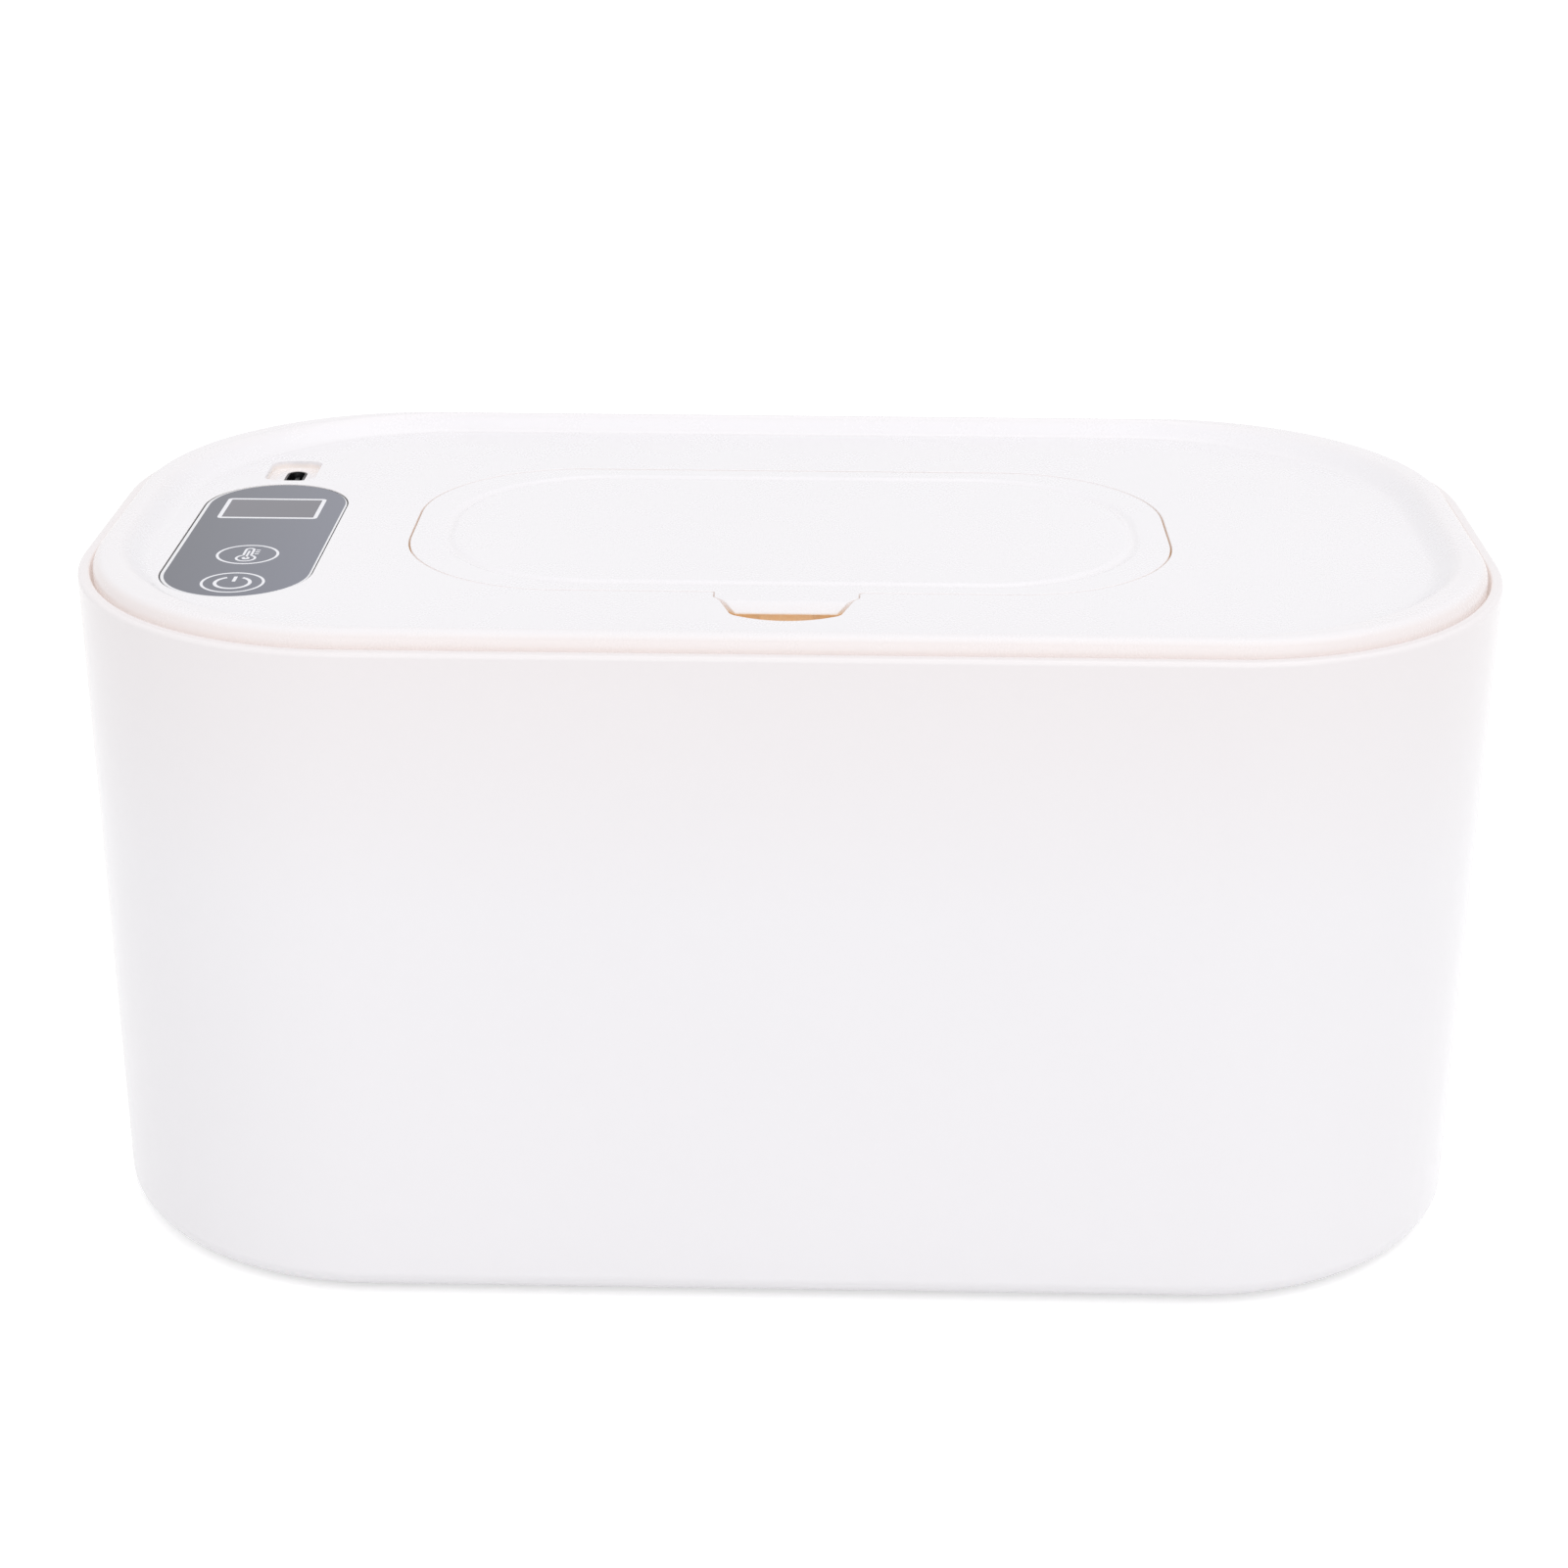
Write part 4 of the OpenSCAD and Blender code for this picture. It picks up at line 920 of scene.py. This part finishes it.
def rear_cut(p, roll=7.68):
    """Keeps the rear skirt outside the circle of radius roll that it turns in, about the hinge axis."""
    reach = np.sqrt(np.maximum(roll ** 2 - (p[..., 2] - AXIS[2]) ** 2, 0))
    p[..., 1] = np.minimum(p[..., 1], np.where(reach > 0, AXIS[1] - reach, p[..., 1]))
    return p


def build_flap(edge, groove_deep):
    """Flap: land, skirt and rounded edge are sections carried round its outline; the finger tab belongs to the
    same outline and its top follows tab_drop; the groove is a raised cosine carried round a ring."""
    skin = Skin()
    a, front, back, r = FLAP
    fillet, skirt, skirt_foot, inset, land_top = 0.45, 2.2, 99.5, -1.0, 103.3
    root = TAB + fillet
    # Points of the slanted side where the crease's lines end. They bulge by less than a thousandth.
    on_slant = [(-TAB + 3.1 / 3.6 * (-32.6 - CREASE + 0.12 - 0.2 * k) - 0.0006 + 0.00006 * k * k,
                 CREASE - 0.12 + 0.2 * k) for k in (2, 1, 0, -1, -2)]
    left = [(-root, front), (-TAB, front, fillet, 5), (-TAB, -32.6, 0.8, 5), *on_slant, (-7.5, -36.2, 0.5, 6)]
    right = [(-p[0], *p[1:]) for p in left[::-1]]
    body = track([(root, front), (a, front, r), (a, back, r), (-a, back, r), (-a, front, r), (-root, front)])
    tab = track(left + right)
    front_line = track([(-root, front), (root, front)])
    below = Section(-skirt, CEILING).to((-skirt, skirt_foot), (inset, skirt_foot))
    land = Section(inset, skirt_foot).to((inset, 100.3), (inset, 101.25), (inset, TAB_FOOT))
    for line, change in ((body, rear_cut), (front_line, None)):
        skin.carry(below, line, closed=False, change=change)
        skin.carry(land, line, closed=False, change=change)
    upper = Section(inset, TAB_FOOT).to((inset, land_top), (0, land_top), (0, PANEL - edge))
    skin.carry(upper, body, closed=False, change=rear_cut)
    skin.carry(Section(0, PANEL - edge).round(-edge, PANEL, "y", 5), body, closed=False)

    # Tab: rounded edge, side wall and underside
    t = np.linspace(0, np.pi / 2, 6)[:, None]
    flat = tab[0][None] - tab[1][None] * (edge * (1 - np.cos(t)))[..., None]
    drop, slope = tab_drop(flat[..., 1])
    height = np.maximum(PANEL - drop - edge * (1 - np.sin(t)), TAB_FOOT)
    way = np.concatenate([tab[1][None] * np.cos(t)[..., None],
                          np.broadcast_to(np.sin(t)[..., None], (6, len(tab[0]), 1))], 2)
    way[..., 1] -= slope * np.sin(t)
    skin.grid(np.concatenate([flat, height[..., None]], 2), way, False)
    levels = np.stack([np.full(len(tab[0]), TAB_FOOT), np.minimum(height[0], land_top), height[0]])
    skin.grid(np.concatenate([np.stack([tab[0]] * 3), levels[..., None]], 2),
              np.concatenate([np.stack([tab[1]] * 3), np.zeros((3, len(tab[0]), 1))], 2), False)
    skin.plate([np.concatenate([tab[0], [(root, front + 1), (-root, front + 1)]])], TAB_FOOT, -1)
    for s in (-1, 1):
        end = np.array([(front, TAB_FOOT), (front + 1, TAB_FOOT), (front + 1, land_top), (front, land_top)])
        skin.plate([end], s * root, s, sideways())

    # Top, outside and inside the groove
    reach = 1.35
    o = np.linspace(reach, -reach, 17)
    dip = -groove_deep * 0.5 * (1 + np.cos(np.pi * o / reach))
    rate = groove_deep * 0.5 * np.pi / reach * np.sin(np.pi * o / reach)
    groove = Section(0, 0).add(np.column_stack([o, PANEL + dip]), np.column_stack([-np.ones(17), -rate]))
    circuit = ring(*GROOVE)
    skin.carry(groove, circuit)
    skin.plate([offset(circuit, -reach)], PANEL, 1)
    inner = offset(tab, -edge)
    marks = []
    for p in on_slant:
        close = inner[np.argmin(np.hypot(*(tab[0] - p).T))]
        marks.append(np.array([close, close * [-1, 1]]))
    outer_flat, faces = flat_fill([offset(joined(body, tab), -edge), offset(circuit, reach)], marks)
    drop, slope = tab_drop(outer_flat[:, 1])
    ways = np.column_stack([np.zeros(len(drop)), -slope, np.ones(len(drop))])
    skin.add(np.column_stack([outer_flat, PANEL - drop]), ways, faces)
    skin.plate([offset(joined(body, front_line), -skirt)], CEILING, -1)

    # Catch hook, heat stakes and gooseneck arms
    front, back, foot, top = -33.75, -32.85, 100.35, 102.6
    prism(skin, [(front, foot, 0.3, 4), (back, foot, 0.2, 4), (back, top), (front, top)], 0.0, 4.0, 0.15)
    prism(skin, circle(back, foot + 0.35, 0.35, 12)[0], 0.0, 4.0)
    for x0, y0 in corners_of((0, -1.0), 40.0, 24.0):
        skin.carry(Section(-1, 100.1).round(0, 100.5, "x", 5).to((0, CEILING), (-1, CEILING)), circle(x0, y0, 1.0))
    low, ahead, w = -8.11, -9.8, 0.9
    arm = [(-w, 0), (1.1 - w, low + w, 0.5, 6), (ahead + w, low + w, 0.5, 6), (ahead + w, 2.35), (ahead - w, 2.35),
           (ahead - w, low - w, 1.9, 6), (1.1 + w, low - w, 1.9, 6), (w, 0)]
    eye = Section(-0.2, -2.0).round(0, -1.8, "x", 3).to((0, 1.8)).round(-0.2, 2.0, "y", 3)
    eye.to((-1.05, 2.0), (-1.05, -2.0), (-0.2, -2.0))
    for x0 in ARM_X:
        prism(skin, arm, x0, 2.0, 0.2, AXIS)
        skin.carry(eye, circle(0, 0, 2.0, 40), place=sideways(AXIS + [x0, 0, 0]))
    return skin.object("flap_top", "lid_white", "flap")


def build_film():
    """Control film: a stadium with a finely rounded edge. Its pale border round the printed colour is a painted
    highlight along the film's edge.
    """
    skin, plan, soft = Skin(), ring(11.3, 28.0, 11.29, FILM), 0.12
    skin.carry(Section(-0.1, FILM_FOOT).to((0, FILM_FOOT), (0, FILM_TOP - soft)).round(-soft, FILM_TOP, "y", 5), plan)
    skin.plate([offset(plan, -soft)], FILM_TOP, 1)
    skin.plate([offset(plan, -0.1)], FILM_FOOT, -1)
    return skin.object("film", "film_clear", "lid")


def build_ink():
    """Printed colour of the film: a slightly smaller stadium, a little to the right and up, which leaves the pale
    painted highlight round it uneven.
    """
    plan, top = ring(10.87, 27.83, 10.86, (FILM[0] + 0.15, FILM[1] + 0.06)), FILM_TOP + 0.004
    skin = Skin().carry(Section(0, PRINT_FOOT).to((0, top)), plan)
    skin.ends(plan[0], PRINT_FOOT, top)
    return skin.object("film_ink", "film_colour", "lid")


def build_gap_shade():
    """Dark bead in the gap round the film: painted shade that stands for the gap's shadow."""
    skin = Skin().carry(box_section(-0.05, 0.21, FILM_FOOT, FILM_TOP - 0.1), ring(11.3, 28.0, 11.29, FILM))
    return skin.object("film_gap_shade", "edge_black", "lid")


def build_window():
    """Printed window over the display: a thin rectangle."""
    skin, corners, top = Skin(), corners_of(WINDOW, 7.5, 4.8), FILM_TOP + 0.008
    for i in range(4):
        skin.wall(corners[i - 1], corners[i], PRINT_FOOT, top)
    skin.ends(np.array(corners), PRINT_FOOT, top)
    return skin.object("film_window", "window_print", "lid")


def band(skin, line, width, closed=False):
    """A printed line: a thin rectangle carried along its middle. An open line gets a face at each end."""
    w, low, high = width / 2, PRINT_FOOT, FILM_TOP + 0.014
    skin.carry(box_section(-w, w, low, high), line, closed=closed)
    for end, s in () if closed else ((0, -1), (-1, 1)):
        p, o = line[0][end], line[1][end]
        corners = [(*(p - o * w), low), (*(p + o * w), low), (*(p + o * w), high), (*(p - o * w), high)]
        skin.add(np.array(corners), np.tile(np.array([-o[1], o[0], 0]) * s, (4, 1)), [[0, 1, 2, 3]])


def build_print(width):
    """Print on the film: the display's frame, two rings, a thermometer and a power sign, as thin printed lines."""
    skin = Skin()
    band(skin, track([(*c, 0.4, 4) for c in corners_of(WINDOW, 7.62, 4.95)], closed=True), 0.66, True)
    # Thermometer: tube with a round top that opens into the bulb, a filled line, and three marks
    x, y = -82.6, -15.3
    band(skin, oval(x, y, 4.58, 4.42), width, True)
    neck, bulb, bulb_y, top = 0.6, 1.42, y - 1.72, y + 2.95
    opening = np.arcsin(neck / bulb)
    band(skin, arc(x, bulb_y, bulb, np.linspace(np.pi / 2 + opening, np.pi * 2.5 - opening, 33)), width * 0.9)
    shoulder = bulb_y + np.sqrt(bulb ** 2 - neck ** 2)
    stem = [(x + neck, shoulder), (x + neck, top, neck, 8), (x - neck, top, neck, 8), (x - neck, shoulder)]
    band(skin, track(stem), width * 0.9)
    band(skin, track([(x, bulb_y + 0.2), (x, y + 1.75)]), width * 0.8)
    band(skin, circle(x, bulb_y, 0.36, 20), 0.5, True)
    for k in range(3):
        mark = y + 0.4 + 0.88 * k
        band(skin, track([(x + 0.98, mark), (x + 1.62, mark)]), width * 0.85)
    # Power sign: an open ring with a bar
    x, y = -82.4, -28.5
    band(skin, oval(x, y, 4.58, 4.42), width, True)
    band(skin, arc(x, y - 0.1, 2.6, np.radians(np.linspace(117, 424, 41))), width * 1.3)
    band(skin, track([(x + 0.05, y + 0.45), (x + 0.05, y + 2.75)]), width * 1.3)
    return skin.object("film_lines", "print_ink", "lid")


class WARMER_OT_finishes(Operator):
    """Make every finish of the warmer"""

    bl_idname = "warmer.finishes"
    bl_label = "Finishes"

    def execute(self, context):
        all_finishes(context.scene.warmer_colours)
        return {"FINISHED"}


class WARMER_OT_case(Operator):
    """Build the case"""

    bl_idname = "warmer.case"
    bl_label = "Case"

    def execute(self, context):
        case = build_case(context.scene.warmer_sizes.rim_round / MM)
        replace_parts(case, "case_shell")
        return {"FINISHED"}


class WARMER_OT_lid(Operator):
    """Build the lid's cover"""

    bl_idname = "warmer.lid"
    bl_label = "Lid"

    def execute(self, context):
        lid = build_lid(context.scene.warmer_sizes.panel_edge / MM)
        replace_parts(lid, "lid_cover")
        return {"FINISHED"}


class WARMER_OT_flap(Operator):
    """Build the flap"""

    bl_idname = "warmer.flap"
    bl_label = "Flap"

    def execute(self, context):
        sizes = context.scene.warmer_sizes
        flap = build_flap(sizes.flap_edge / MM, sizes.groove_deep / MM)
        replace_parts(flap, "flap_cover")
        return {"FINISHED"}


class WARMER_OT_controls(Operator):
    """Build the control film and its print"""

    bl_idname = "warmer.controls"
    bl_label = "Controls"

    def execute(self, context):
        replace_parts(build_film(), "control_film")
        line_width = context.scene.warmer_sizes.line_width / MM
        for piece in (build_ink(), build_gap_shade(), build_window(), build_print(line_width)):
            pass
        return {"FINISHED"}


class WARMER_OT_inner(Operator):
    """Finish the inner parts"""

    bl_idname = "warmer.inner"
    bl_label = "Inner parts"

    def execute(self, context):
        for node, finish in INNER.items():
            dress(node, finish)
        return {"FINISHED"}


# ------------------------------------------------------------------- stage


def lamp(name, power, size, place, target):
    """A square lamp of that size, in metres, that looks at a point."""
    data = bpy.data.lights.new(name, "AREA")
    data.energy = power
    data.size = size
    look = Vector(target) - Vector(place)
    turn = look.to_track_quat("-Z", "Y").to_matrix().to_4x4()
    linked(name, data).matrix_world = Matrix.Translation(place) @ turn


def seen_direct(tree):
    """1 where a camera, glossy or transmission ray sees the surface."""
    path = tree.add("ShaderNodeLightPath").outputs
    either = tree.math("MAXIMUM", path["Is Camera Ray"], path["Is Glossy Ray"])
    return tree.math("MAXIMUM", either, path["Is Transmission Ray"])


def empty_tree(owner):
    """The Tree of a material or world, with no nodes in it."""
    owner.use_nodes = True
    owner.node_tree.nodes.clear()
    return Tree(owner.node_tree)


def make_floor(colour):
    """Floor whose white comes from its own colour for the eye, and which still takes the object's shadow."""
    half, lit_share, own_share = 3.0, 0.8, 0.45
    mesh = bpy.data.meshes.new("floor")
    mesh.from_pydata([(x, y, 0) for x, y in corners_of((0, 0), half, half)], [], [(0, 1, 2, 3)])
    made = bpy.data.materials.new("floor_white")
    tree = empty_tree(made)
    lit = tree.add("ShaderNodeBsdfDiffuse", {"Color": shade(colour, lit_share)}).outputs[0]
    seen = tree.math("MULTIPLY", seen_direct(tree), own_share)
    glow = tree.add("ShaderNodeEmission", {"Color": shade(colour, 1.0), "Strength": seen}).outputs[0]
    both = tree.add("ShaderNodeAddShader", {0: lit, 1: glow}).outputs[0]
    tree.add("ShaderNodeOutputMaterial", {"Surface": both})
    mesh.materials.append(made)
    linked("floor", mesh)


def make_sky(colour, strength):
    """Even light from all round, white where it is seen."""
    world = bpy.data.worlds.new("studio")
    bpy.context.scene.world = world
    tree = empty_tree(world)
    level = tree.ramp(seen_direct(tree), 0.0, 1.0, strength, 1.0)
    sky = tree.add("ShaderNodeBackground", {"Color": shade(colour, 1.0), "Strength": level}).outputs[0]
    tree.add("ShaderNodeOutputWorld", {"Surface": sky})


def make_camera():
    """Camera at the viewing angle that was fitted to the reference picture.
    back = (sin yaw cos pitch, -cos yaw cos pitch, sin pitch), and the roll turns right and up about it."""
    focal, sensor, distance = 3011.78, 36.0, 0.47934
    pitch, yaw, roll = np.radians([22.63, 1.1, 0.26])
    target = np.array([-1.69, 0.0, 61.43]) * MM
    centre = np.array([794.77, 794.83])
    back = np.array([np.sin(yaw) * np.cos(pitch), -np.cos(yaw) * np.cos(pitch), np.sin(pitch)])
    right = np.array([np.cos(yaw), np.sin(yaw), 0.0])
    up = np.cross(back, right)
    data = bpy.data.cameras.new("camera")
    data.sensor_width = sensor
    data.sensor_fit = "HORIZONTAL"
    data.lens = sensor * focal / IMAGE
    data.shift_x = (IMAGE / 2 - centre[0]) / IMAGE
    data.shift_y = (centre[1] - IMAGE / 2) / IMAGE
    data.clip_start, data.clip_end = 0.01, 20.0
    made = linked("camera", data)
    axes = np.eye(4)
    axes[:3, 0] = right * np.cos(roll) + up * np.sin(roll)
    axes[:3, 1] = up * np.cos(roll) - right * np.sin(roll)
    axes[:3, 2] = back
    axes[:3, 3] = target + back * distance
    made.matrix_world = Matrix(axes.tolist())
    bpy.context.scene.camera = made


class WARMER_OT_stage(Operator):
    """Set the floor, the sky, the lamps and the camera"""

    bl_idname = "warmer.stage"
    bl_label = "Stage"

    def execute(self, context):
        background, light = context.scene.warmer_colours.background, context.scene.warmer_light
        make_floor(background)
        make_sky(background, light.sky)
        lamp("key", light.key, 2.2, (0.45, -2.0, 1.05), (0, 0, 0.06))
        lamp("top", light.top, 1.6, (0.5, -0.2, 2.0), (0, 0, 0.08))
        lamp("fill", light.fill, 1.6, (-1.7, -0.9, 0.8), (0, 0, 0.06))
        make_camera()
        context.scene.view_settings.view_transform = "Standard"
        return {"FINISHED"}


class WARMER_PT_panel(Panel):
    """Pieces and settings of the warmer"""

    bl_idname = "WARMER_PT_panel"
    bl_label = "Wipe warmer"
    bl_space_type = "VIEW_3D"
    bl_region_type = "UI"
    bl_category = "Warmer"

    def draw(self, context):
        for settings, kind in SETTINGS.items():
            for name in kind.__annotations__:
                self.layout.prop(getattr(context.scene, settings), name)
        for operator in STEPS:
            self.layout.operator(operator.bl_idname)


STEPS = [WARMER_OT_finishes, WARMER_OT_case, WARMER_OT_lid, WARMER_OT_flap, WARMER_OT_controls, WARMER_OT_inner,
         WARMER_OT_stage]
SETTINGS = {"warmer_colours": WarmerColours, "warmer_sizes": WarmerSizes, "warmer_light": WarmerLight}
CLASSES = [*SETTINGS.values(), *STEPS, WARMER_PT_panel]


def register():
    """Registers the classes and their settings."""
    for made in CLASSES:
        bpy.utils.register_class(made)
    for name, kind in SETTINGS.items():
        setattr(bpy.types.Scene, name, PointerProperty(type=kind))


def unregister():
    """Takes them away again."""
    for name in SETTINGS:
        delattr(bpy.types.Scene, name)
    for made in reversed(CLASSES):
        bpy.utils.unregister_class(made)


def main():
    """Runs every step in order."""
    register()
    for step in STEPS:
        getattr(bpy.ops.warmer, step.bl_idname.split(".")[1])()


if __name__ == "__main__":
    main()
